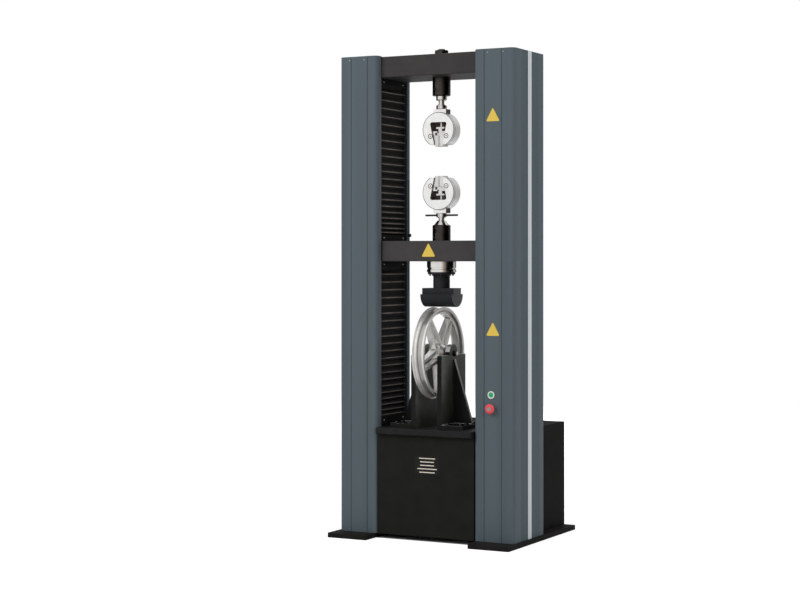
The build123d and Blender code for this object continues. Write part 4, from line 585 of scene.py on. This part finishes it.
def turned_face(name, centre_z):
    """Satin steel with a facing cut's faint rings, broad rings of painted sheen, and a rim of painted shade.
    """
    material, tree, surface = new_material(name)
    place = add(tree, "ShaderNodeTexCoord").outputs["Object"]
    about = add(tree, "ShaderNodeMapping", {"Vector": place, "Location": (0, 0, -centre_z * MM),
                                            "Scale": (1, 0, 1)}).outputs[0]
    radius = add(tree, "ShaderNodeVectorMath", {0: about}, operation="LENGTH")
    cut = add(tree, "ShaderNodeMath", {0: radius.outputs["Value"], 1: 2 * math.pi / (TOOL_FEED * MM)},
              operation="MULTIPLY")
    ring = add(tree, "ShaderNodeMath", {0: cut.outputs[0]}, operation="SINE")
    blotches = add(tree, "ShaderNodeTexNoise", {"Vector": place, "Scale": 26.0, "Detail": 6.0})
    # Painted sheen: broad rings in the tone about the grip's middle.
    broad = add(tree, "ShaderNodeMath", {0: radius.outputs["Value"], 1: 2 * math.pi / (SHEEN_BAND * MM)},
                operation="MULTIPLY")
    band = add(tree, "ShaderNodeMath", {0: broad.outputs[0]}, operation="SINE")
    sheen_and_blotches = add(tree, "ShaderNodeMath", {0: band.outputs[0], 1: 0.05, 2: blotches.outputs[0]},
                operation="MULTIPLY_ADD")
    tone = add(tree, "ShaderNodeMapRange", {0: sheen_and_blotches.outputs[0], 1: 0.2, 2: 0.85})
    bright = add(tree, "ShaderNodeMix", {0: tone.outputs[0], 6: linear("#FFFFFF"), 7: linear("#EEEEED")},
                 data_type="RGBA")
    facing = add(tree, "ShaderNodeSeparateXYZ", {0: add(tree, "ShaderNodeNewGeometry").outputs["Normal"]})
    front = add(tree, "ShaderNodeMath", {0: facing.outputs[1], 1: -0.3}, operation="LESS_THAN")
    # Painted shade: a dark ring on the front face at its rim.
    outer = add(tree, "ShaderNodeMath",
                {0: radius.outputs["Value"], 1: RIM_SHADE_RADIUS * MM, 2: RIM_SHADE_HALF * MM},
                operation="COMPARE")
    edge = add(tree, "ShaderNodeMath", {0: outer.outputs[0], 1: front.outputs[0]}, operation="MULTIPLY")
    colour = add(tree, "ShaderNodeMix", {0: edge.outputs[0], 6: bright.outputs[2], 7: linear("#4A4A4A")},
                 data_type="RGBA")
    tree.links.new(colour.outputs[2], surface.inputs["Base Color"])
    gloss = add(tree, "ShaderNodeMapRange", {0: sheen_and_blotches.outputs[0], 3: 0.26, 4: 0.36})
    tree.links.new(gloss.outputs[0], surface.inputs["Roughness"])
    bump = add(tree, "ShaderNodeBump", {"Height": ring.outputs[0], "Distance": 0.015 * MM, "Strength": 0.5})
    tree.links.new(bump.outputs[0], surface.inputs["Normal"])
    surface.inputs["Metallic"].default_value = 1.0
    return material


# Oiled steel for the pocket and window, painted lighter than their shade would show, as painted light.
pocket_steel_with_painted_light = bare_steel("oiled_pocket_steel_with_painted_light", "#9C9087", "#5C534D", 0.4, 0.9, (1, 8, 1))
pocket_steel_with_painted_light.node_tree.nodes["Principled BSDF"].inputs["Metallic"].default_value = 0.45
POCKET_REACH = 82
POCKET_HALF_DEPTH = 24.6
POCKET_FRONT_Y = -20
NECK_RISE = 70
NECK_FLANK_X = 30
WINDOW_REACH = 80
MOUTH_Z = -77
PLATE_SCREWS = ((-46, -34), (46, -34))
SCREW_CLEAR = 13
SCREW_FOOT_Y = -39.05
SCREW_SHADE_RING = [(9.9, 0), (13.4, 0), (13.4, 0.3), (9.9, 0.3), (9.9, 0)]
SCREW_SOCKET_SHADE = [(0, 0.9), (3.6, 0.9), (3.6, 1.15), (0, 1.15)]
TOMMY_BAR_FROM_X = 28.6
TOMMY_BAR_HALF = 6
for side, body, centre_z, up in (("upper", "frame", 2137, 1), ("lower", "crosshead", 1808, -1)):
    faced_steel = turned_face(f"{side}_grip_faced_steel", centre_z)

    def of_body(centre, direction):
        """1 for the faces of the body's pocket and bores, 2 for the flanks of its neck, painted black as
        painted shade.
        """
        height = centre.z - centre_z
        if abs(direction.x) > STEEP and height * up > NECK_RISE and abs(centre.x) > NECK_FLANK_X:
            return 2
        inside = math.hypot(centre.x, height) < POCKET_REACH and abs(centre.y) < POCKET_HALF_DEPTH
        return inside and not (direction.y < -STEEP and centre.y < POCKET_FRONT_Y)

    def in_window(centre, direction):
        """The walls of the front plate's window."""
        height = (centre.z - centre_z) * up
        at_screw = any(math.hypot(centre.x - x, height - z) < SCREW_CLEAR for x, z in PLATE_SCREWS)
        inside = math.hypot(centre.x, height) < WINDOW_REACH and height > MOUTH_Z
        return inside and abs(direction.y) < 0.3 and not at_screw

    def of_tommy_bar(centre, direction):
        """The ends of the bar that turns the collar, where they stand out of it."""
        return abs(centre.x) > TOMMY_BAR_FROM_X and abs(centre.y) < TOMMY_BAR_HALF

    finished(f"{side}_grip_body", 0.8, faced_steel, others=(pocket_steel_with_painted_light, black_oxide_and_painted_shade), chosen=of_body)
    finished(f"{side}_grip_front", 0.6, faced_steel, others=(pocket_steel_with_painted_light,), chosen=in_window)
    # Each plate screw gets a black ring round its head and a black hexagon in its middle: painted shade of
    # its counterbore and its socket.
    shape = bmesh.new()
    for x, z in PLATE_SCREWS:
        foot = (x, SCREW_FOOT_Y, centre_z + up * z)
        turned(shape, SCREW_SHADE_RING, foot, (0, -1, 0), 32)
        turned(shape, SCREW_SOCKET_SHADE, foot, (0, -1, 0), 6)
    built(f"{side}_plate_screw_painted_shade", shape, black_oxide_and_painted_shade, body)
    finished(f"{side}_spindle", 0.4, polished_steel)
    finished(f"{side}_collar", 0.4, polished_steel, others=(black_oxide_and_painted_shade,), chosen=of_tommy_bar)
    for piece in ("carrier", "jaw_left", "jaw_right"):
        finished(f"{side}_{piece}", 0.4, bright_steel)


# Cast wheel
# A light alloy motorcycle wheel, cast, then turned on the rim: pale silver, with a fine sand texture on
# the arms. Shade is painted dark into the corners between arms, rim and hub, and into the rim's well.
AXLE_Z = 965
WELL_RADIUS = 219.5
WELL_HALF = 4.5
SHADE_REACH = 24
cast_alloy, tree, surface = new_material("cast_and_turned_alloy")
place = add(tree, "ShaderNodeTexCoord").outputs["Object"]
sand = add(tree, "ShaderNodeTexNoise", {"Vector": place, "Scale": 1 / (1.4 * MM), "Detail": 4.0})
cloud = add(tree, "ShaderNodeTexNoise", {"Vector": place, "Scale": 16.0, "Detail": 5.0})
tone = add(tree, "ShaderNodeMapRange", {0: cloud.outputs[0], 1: 0.3, 2: 0.7})
unshaded_alloy = add(tree, "ShaderNodeMix", {0: tone.outputs[0], 6: linear("#FDFCFA"), 7: linear("#E9E8E4")},
            data_type="RGBA")
# Painted shade: occlusion darkens the corners between arms, rim and hub, and the rim's well is darkened by
# its radius.
hidden = add(tree, "ShaderNodeAmbientOcclusion", {"Distance": SHADE_REACH * MM}, samples=8)
out_of_shade = add(tree, "ShaderNodeMapRange", {0: hidden.outputs["AO"], 1: 0.26, 2: 0.66})
from_axle = add(tree, "ShaderNodeMapping", {"Vector": place, "Location": (0, 0, -AXLE_Z * MM),
                                            "Scale": (0, 1, 1)}).outputs[0]
reach = add(tree, "ShaderNodeVectorMath", {0: from_axle}, operation="LENGTH")
in_well = add(tree, "ShaderNodeMath", {0: reach.outputs["Value"], 1: WELL_RADIUS * MM, 2: WELL_HALF * MM},
              operation="COMPARE")
well_shade = add(tree, "ShaderNodeMath", {0: in_well.outputs[0], 1: 0.5}, operation="MULTIPLY")
well_shaded_alloy = add(tree, "ShaderNodeMix", {0: well_shade.outputs[0], 6: unshaded_alloy.outputs[2], 7: linear("#6A6763")},
           data_type="RGBA")
colour = add(tree, "ShaderNodeMix",
             {0: out_of_shade.outputs[0], 6: linear("#3E3B38"), 7: well_shaded_alloy.outputs[2]}, data_type="RGBA")
tree.links.new(colour.outputs[2], surface.inputs["Base Color"])
gloss = add(tree, "ShaderNodeMapRange", {0: sand.outputs[0], 3: 0.18, 4: 0.3})
tree.links.new(gloss.outputs[0], surface.inputs["Roughness"])
bump = add(tree, "ShaderNodeBump", {"Height": sand.outputs[0], "Distance": 0.06 * MM, "Strength": 0.6})
tree.links.new(bump.outputs[0], surface.inputs["Normal"])
surface.inputs["Metallic"].default_value = 0.6
finished("wheel", 2.0, cast_alloy, segments=3)


# Wheel supports
# Thick plates cut from hot-rolled steel, welded and painted black in a thin satin coat. A greenish grey
# sheen is painted on the side faces, fading towards the base, and highlights on the slopes and tops.
BASE_TOP = 600
FULL_SHEEN_Z = 950
CROWN_Z = 930


def black_paint_with_painted_light(name, painted_sheen_hex, edge_hex, painted_highlight_hex):
    """Black paint, black on cut edges, with a sheen painted on the side faces and highlights on slopes and
    tops.
    """
    material, tree, surface = new_material(name)
    place = add(tree, "ShaderNodeTexCoord").outputs["Object"]
    facing = add(tree, "ShaderNodeSeparateXYZ", {0: add(tree, "ShaderNodeNewGeometry").outputs["Normal"]})
    # Painted sheen: the side faces get a greenish grey, fading towards the base.
    across = add(tree, "ShaderNodeMath", {0: facing.outputs[0]}, operation="ABSOLUTE")
    side_faces = add(tree, "ShaderNodeMapRange", {0: across.outputs[0], 1: 0.9, 2: 0.99})
    cloud = add(tree, "ShaderNodeTexNoise", {"Vector": place, "Scale": 9.0, "Detail": 6.0})
    patch = add(tree, "ShaderNodeMapRange", {0: cloud.outputs[0], 1: 0.3, 2: 0.7, 3: 0.55, 4: 1.0})
    height = add(tree, "ShaderNodeSeparateXYZ", {0: place})
    sheen_height_fade = add(tree, "ShaderNodeMapRange",
                {0: height.outputs[2], 1: BASE_TOP * MM, 2: FULL_SHEEN_Z * MM, 3: 0.12, 4: 1.0})
    sheen_fade = add(tree, "ShaderNodeMath", {0: sheen_height_fade.outputs[0], 1: patch.outputs[0]}, operation="MULTIPLY")
    painted_light_amount = add(tree, "ShaderNodeMath", {0: side_faces.outputs[0], 1: sheen_fade.outputs[0]}, operation="MULTIPLY")
    base = add(tree, "ShaderNodeMix", {0: painted_light_amount.outputs[0], 6: linear(edge_hex), 7: linear(painted_sheen_hex)},
               data_type="RGBA")
    # Painted highlight: the slopes, and the tops high up, get a near-white colour.
    slope = add(tree, "ShaderNodeMath", {0: facing.outputs[2], 1: 0.5, 2: 0.3}, operation="COMPARE")
    upward = add(tree, "ShaderNodeMath", {0: facing.outputs[2], 1: STEEP}, operation="GREATER_THAN")
    high_up = add(tree, "ShaderNodeMath", {0: height.outputs[2], 1: CROWN_Z * MM}, operation="GREATER_THAN")
    crown = add(tree, "ShaderNodeMath", {0: upward.outputs[0], 1: high_up.outputs[0]}, operation="MULTIPLY")
    painted_highlight_share = add(tree, "ShaderNodeMath", {0: slope.outputs[0], 1: crown.outputs[0]}, operation="MAXIMUM")
    painted_highlight_patches = add(tree, "ShaderNodeMath", {0: painted_highlight_share.outputs[0], 1: patch.outputs[0]}, operation="MULTIPLY")
    colour = add(tree, "ShaderNodeMix", {0: painted_highlight_patches.outputs[0], 6: base.outputs[2], 7: linear(painted_highlight_hex)},
                 data_type="RGBA")
    tree.links.new(colour.outputs[2], surface.inputs["Base Color"])
    grain = add(tree, "ShaderNodeTexNoise", {"Vector": place, "Scale": 1 / (1.6 * MM), "Detail": 3.0})
    gloss = add(tree, "ShaderNodeMapRange", {0: grain.outputs[0], 3: 0.34, 4: 0.46})
    tree.links.new(gloss.outputs[0], surface.inputs["Roughness"])
    bump = add(tree, "ShaderNodeBump", {"Height": grain.outputs[0], "Distance": 0.07 * MM, "Strength": 0.6})
    tree.links.new(bump.outputs[0], surface.inputs["Normal"])
    surface.inputs["IOR"].default_value = 1.2
    return material


support_paint = black_paint_with_painted_light("black_support_paint_with_painted_light", "#8B8F86", "#1D1D1C", "#EDEDE9")
finished("wheel_supports", 1.2, support_paint)

# Fillet welds run down both sides of each gusset, along its foot, and along the foot of each upright.
WHEEL_X = -18
UPRIGHT_FACE = 89
GUSSET_HALF = 10
GUSSET_TOE_REACH = 198
TOE_WELD_GAP = 5
WELD_RADIUS = 4
WELD_STEP = 3.5
WELD_SIDES = 8
RIPPLE_SHARE = 0.84
BEAD_END_SHARE = 0.4
WELD_TOP_Z = 926
FOOT_WELD_FROM_Y = 17
FOOT_WELD_TO_Y = box_mm("wheel_supports")[1].y - 6


def weld(shape, start, end):
    """Adds a weld bead: a round bar with the ripples that each step of the torch leaves."""
    start, end = Vector(start), Vector(end)
    run = end - start
    turn = run.to_track_quat("Z", "Y").to_matrix()
    count = max(3, int(run.length / WELD_STEP))
    rings = []
    for index in range(2 * count + 1):
        radius = WELD_RADIUS * (1.0 if index % 2 else RIPPLE_SHARE)
        if index in (0, 2 * count):
            radius = WELD_RADIUS * BEAD_END_SHARE
        angles = [2 * math.pi * step / WELD_SIDES for step in range(WELD_SIDES)]
        rings.append([shape.verts.new(start + run * (index / (2 * count))
                                      + turn @ Vector((radius * math.cos(a), radius * math.sin(a), 0)))
                      for a in angles])
    for lower, upper in zip(rings, rings[1:]):
        for step in range(WELD_SIDES):
            after = (step + 1) % WELD_SIDES
            shape.faces.new([lower[step], lower[after], upper[after], upper[step]])
    shape.faces.new(rings[0][::-1])
    shape.faces.new(rings[-1])


shape = bmesh.new()
for side in (-1, 1):
    face_x = WHEEL_X + side * UPRIGHT_FACE
    for turn in (-1, 1):
        gusset_y = turn * GUSSET_HALF
        weld(shape, (face_x, gusset_y, BASE_TOP + WELD_RADIUS), (face_x, gusset_y, WELD_TOP_Z))
        weld(shape, (face_x + side * TOE_WELD_GAP, gusset_y, BASE_TOP),
             (WHEEL_X + side * GUSSET_TOE_REACH, gusset_y, BASE_TOP))
        weld(shape, (face_x, turn * FOOT_WELD_FROM_Y, BASE_TOP), (face_x, turn * FOOT_WELD_TO_Y, BASE_TOP))
built("support_welds", shape, support_paint, "frame", smooth_degrees=80)


# Belt
# The belt round the pulleys under the table is black rubber, matt and a little dusty. It shows only from
# below and behind.
belt_rubber = mottled("black_belt_rubber", "#141414", "#1E1E1D", 0.7, 60.0, 6.0)
finished("drive_belt", 0.3, belt_rubber)


# Buttons
# A chromed bezel round a green cap, and below it a red mushroom on a grey plunger, all moulded
# parts with a soft gloss.
def moulded(name, hex_colour, pale_hex, roughness):
    """Moulded plastic with a faint unevenness in tone and gloss."""
    material, tree, surface = new_material(name)
    place = add(tree, "ShaderNodeTexCoord").outputs["Object"]
    flow = add(tree, "ShaderNodeTexNoise", {"Vector": place, "Scale": 120.0, "Detail": 3.0})
    colour = add(tree, "ShaderNodeMix", {0: flow.outputs[0], 6: linear(hex_colour), 7: linear(pale_hex)},
                 data_type="RGBA")
    tree.links.new(colour.outputs[2], surface.inputs["Base Color"])
    gloss = add(tree, "ShaderNodeMapRange", {0: flow.outputs[0], 3: roughness - 0.04, 4: roughness + 0.06})
    tree.links.new(gloss.outputs[0], surface.inputs["Roughness"])
    surface.inputs["IOR"].default_value = 1.5
    return material


bezel_chrome = bare_steel("satin_chromed_bezel", "#EDEEEE", "#E2E3E3", 0.2, 0.6, (1, 1, 1))
finished("button_bezels", 0.5, bezel_chrome)
finished("start_button", 0.4, moulded("green_moulded_cap", "#1FA45E", "#28B06A", 0.3))
finished("stop_head", 0.6, moulded("red_moulded_mushroom", "#E8444A", "#EE5A5F", 0.32))
finished("stop_plunger", 0.4, moulded("grey_moulded_plunger", "#8E9092", "#9A9C9E", 0.4))
finished("limit_knob", 0.4, moulded("black_moulded_knob", "#141414", "#1C1C1C", 0.35))


# Bellows
# Pleated curtains of black coated cloth over the columns' openings. Each fold is stiffened, so its ridge
# is a straight line, and the folds sit closer together towards the bottom, where their weight rests.
bellows_cloth, tree, surface = new_material("black_coated_cloth")
place = add(tree, "ShaderNodeTexCoord").outputs["Object"]
weave = add(tree, "ShaderNodeTexNoise", {"Vector": place, "Scale": 1 / (1.2 * MM), "Detail": 2.0})
dust = add(tree, "ShaderNodeTexNoise", {"Vector": place, "Scale": 40.0, "Detail": 5.0})
colour = add(tree, "ShaderNodeMix", {0: dust.outputs[0], 6: linear("#151414"), 7: linear("#201F1E")},
             data_type="RGBA")
tree.links.new(colour.outputs[2], surface.inputs["Base Color"])
surface.inputs["Roughness"].default_value = 0.6
surface.inputs["IOR"].default_value = 1.15
bump = add(tree, "ShaderNodeBump", {"Height": weave.outputs[0], "Distance": 0.05 * MM, "Strength": 0.5})
tree.links.new(bump.outputs[0], surface.inputs["Normal"])

# A brownish grey highlight is painted along the ridges, brightest in the middle of each fold, broken by
# noise.
ridge_highlight_cloth, tree, surface = new_material("painted_ridge_highlight_cloth")
place = add(tree, "ShaderNodeTexCoord").outputs["Object"]
stretched = add(tree, "ShaderNodeMapping", {"Vector": place, "Scale": (1, 0.35, 1)}).outputs[0]
blotches = add(tree, "ShaderNodeTexNoise", {"Vector": stretched, "Scale": 60.0, "Detail": 5.0})
across = add(tree, "ShaderNodeSeparateXYZ", {0: place})
from_middle = add(tree, "ShaderNodeMath", {0: across.outputs[1]}, operation="ABSOLUTE")
fading = add(tree, "ShaderNodeMapRange",
             {0: from_middle.outputs[0], 1: 60 * MM, 2: 130 * MM, 3: 1.0, 4: 0.35})
painted_highlight_share = add(tree, "ShaderNodeMapRange", {0: blotches.outputs[0], 1: 0.3, 2: 0.7, 3: 0.5, 4: 1.0})
painted_light_amount = add(tree, "ShaderNodeMath", {0: fading.outputs[0], 1: painted_highlight_share.outputs[0]}, operation="MULTIPLY")
colour = add(tree, "ShaderNodeMix", {0: painted_light_amount.outputs[0], 6: linear("#1C1B1A"), 7: linear("#857D76")},
             data_type="RGBA")
tree.links.new(colour.outputs[2], surface.inputs["Base Color"])
surface.inputs["Roughness"].default_value = 0.55
surface.inputs["IOR"].default_value = 1.3

# A fold's share of the height grows from the first one at the bottom until the folds hang free. Depths go
# from the ridge, at 0, to the valley, at 1, and spreads are shares of the half width.
FIRST_SHARE = 2.2
SHARE_GAIN = 5.3
CROWDED_FOLDS = 7
CURTAIN_DEPTH = 15
VALLEY_INSET = 2.5
VALLEY_SPREAD = 0.955
RIDGE_HALF = 3.2
RIDGE_DEPTH = 0.14
SAG_DEPTH = 0.012
# A small bright zinc stud at the rear end of each ridge is a painted highlight.
REAR_HIGHLIGHT_STUD = [(0, 0), (1.9, 0), (1.6, 0.8), (0, 1.1)]
REAR_STUD_SHARE_BACK = 0.972
REAR_STUD_SUNK = 0.4
REAR_STUD_FACE_AREA = 4.5


def fold_rows(low_z, high_z, near, far, fold_count, phase):
    """A curtain's section from the bottom up: x, z, share of the width, and whether it ends a ridge face."""
    weights = [FIRST_SHARE + SHARE_GAIN * (1 - math.exp(-index / CROWDED_FOLDS))
               for index in range(fold_count)]
    height = low_z
    rows = [(far, height, VALLEY_SPREAD, False)]
    for index, weight in enumerate(weights):
        pitch = (high_z - low_z) * weight / sum(weights)
        half_ridge = min(RIDGE_HALF, 0.22 * pitch) / pitch
        sag = max(0, SAG_DEPTH * math.sin(2.1 * index + phase))
        for share, depth, spread, ridge in ((0.5 - half_ridge, RIDGE_DEPTH, 0.985, False),
                                            (0.5, sag, 1.0, True),
                                            (0.5 + half_ridge, RIDGE_DEPTH, 0.985, True),
                                            (0.93, 0.93, 0.96, False), (1.0, 1.0, VALLEY_SPREAD, False)):
            rows.append((near + (far - near) * depth, height + pitch * share, spread, ridge))
        height += pitch
    return rows


def curtain(shape, side, low, high, fold_count):
    """Adds one curtain with a painted highlight stud at each ridge's rear end, and returns the faces of its
    ridges.
    """
    rows = fold_rows(low.z, high.z, side * (high.x - CURTAIN_DEPTH), side * (high.x - VALLEY_INSET),
                     fold_count, side)
    rings = []
    ridges = []
    for x, z, spread, ridge in rows:
        half = high.y * spread
        line = [(x, -half, z), (x, -half * 0.5, z), (x, half * 0.5, z), (x, half, z),
                (side * high.x, half, z), (side * high.x, -half, z)]
        rings.append([shape.verts.new(point) for point in line])
    for (x, z, spread, ridge), lower, upper in zip(rows[1:], rings, rings[1:]):
        for step in range(6):
            after = (step + 1) % 6
            face = shape.faces.new([lower[step], lower[after], upper[after], upper[step]])
            if ridge and step < 4:
                ridges.append(face)
        if ridge and spread == 1.0:
            turned(shape, REAR_HIGHLIGHT_STUD, (x + side * REAR_STUD_SUNK, high.y * REAR_STUD_SHARE_BACK, z), (-side, 0, 0), 8)
    shape.faces.new(rings[0][::-1])
    shape.faces.new(rings[-1])
    return ridges


def bellows(name, node, fold_count):
    """Both curtains of a node, built in its box between the frame and the crosshead."""
    low, high = box_mm(node)
    shape = bmesh.new()
    ridges = [face for side in (-1, 1) for face in curtain(shape, side, low, high, fold_count)]
    for face in shape.faces:
        face.material_index = 2 if len(face.verts) == 3 or face.calc_area() < REAR_STUD_FACE_AREA else 0
    for face in ridges:
        face.material_index = 1
    piece = meshed(name, shape, (bellows_cloth, ridge_highlight_cloth, zinc_and_painted_highlight), 50)
    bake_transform(piece)
    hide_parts(node)


bellows("upper_bellows_folds", "upper_bellows", 24)
bellows("lower_bellows_folds", "lower_bellows", 26)


# Yellow plates
# Three small triangular plates of yellow anodised aluminium, left bare, are glued to the front of the
# right column and to the middle of the crosshead.
yellow_plate = mottled("yellow_anodised_plate", "#E3BE45", "#EFCF63", 0.4, 220.0, 4.0, ior=1.4)
CORNER_RADIUS = 10
CORNER_STEPS = 5
YELLOW_THICKNESS = 1.0
YELLOW_EDGE = 0.4
CROSSHEAD_FACE_Y = round(box_mm("crosshead")[0].y, 1)


def triangle(middle_x, low_z, width, rise):
    """The outline of a triangle that stands on its base, with rounded corners."""
    points = []
    tips = [(middle_x - width / 2, low_z), (middle_x + width / 2, low_z), (middle_x, low_z + rise)]
    for index, tip in enumerate(tips):
        tip = Vector(tip)
        first = tip + (Vector(tips[index - 1]) - tip).normalized() * CORNER_RADIUS
        last = tip + (Vector(tips[(index + 1) % 3]) - tip).normalized() * CORNER_RADIUS
        for step in range(CORNER_STEPS + 1):
            t = step / CORNER_STEPS
            points.append(tuple((1 - t) ** 2 * first + 2 * t * (1 - t) * tip + t ** 2 * last))
    return points


for name, body, front_y, x, z, width, rise in (
        ("yellow_plate_high", "frame", -COLUMN_FACE_Y, 387, 2156, 76, 70),
        ("yellow_plate_low", "frame", -COLUMN_FACE_Y, 387, 1070, 76, 70),
        ("yellow_plate_crosshead", "crosshead", CROSSHEAD_FACE_Y, 0, 1471, 80, 72)):
    shape = bmesh.new()
    sheet_plate(shape, triangle(x, z, width, rise), front_y, YELLOW_THICKNESS, YELLOW_EDGE)
    built(name, shape, yellow_plate, body)
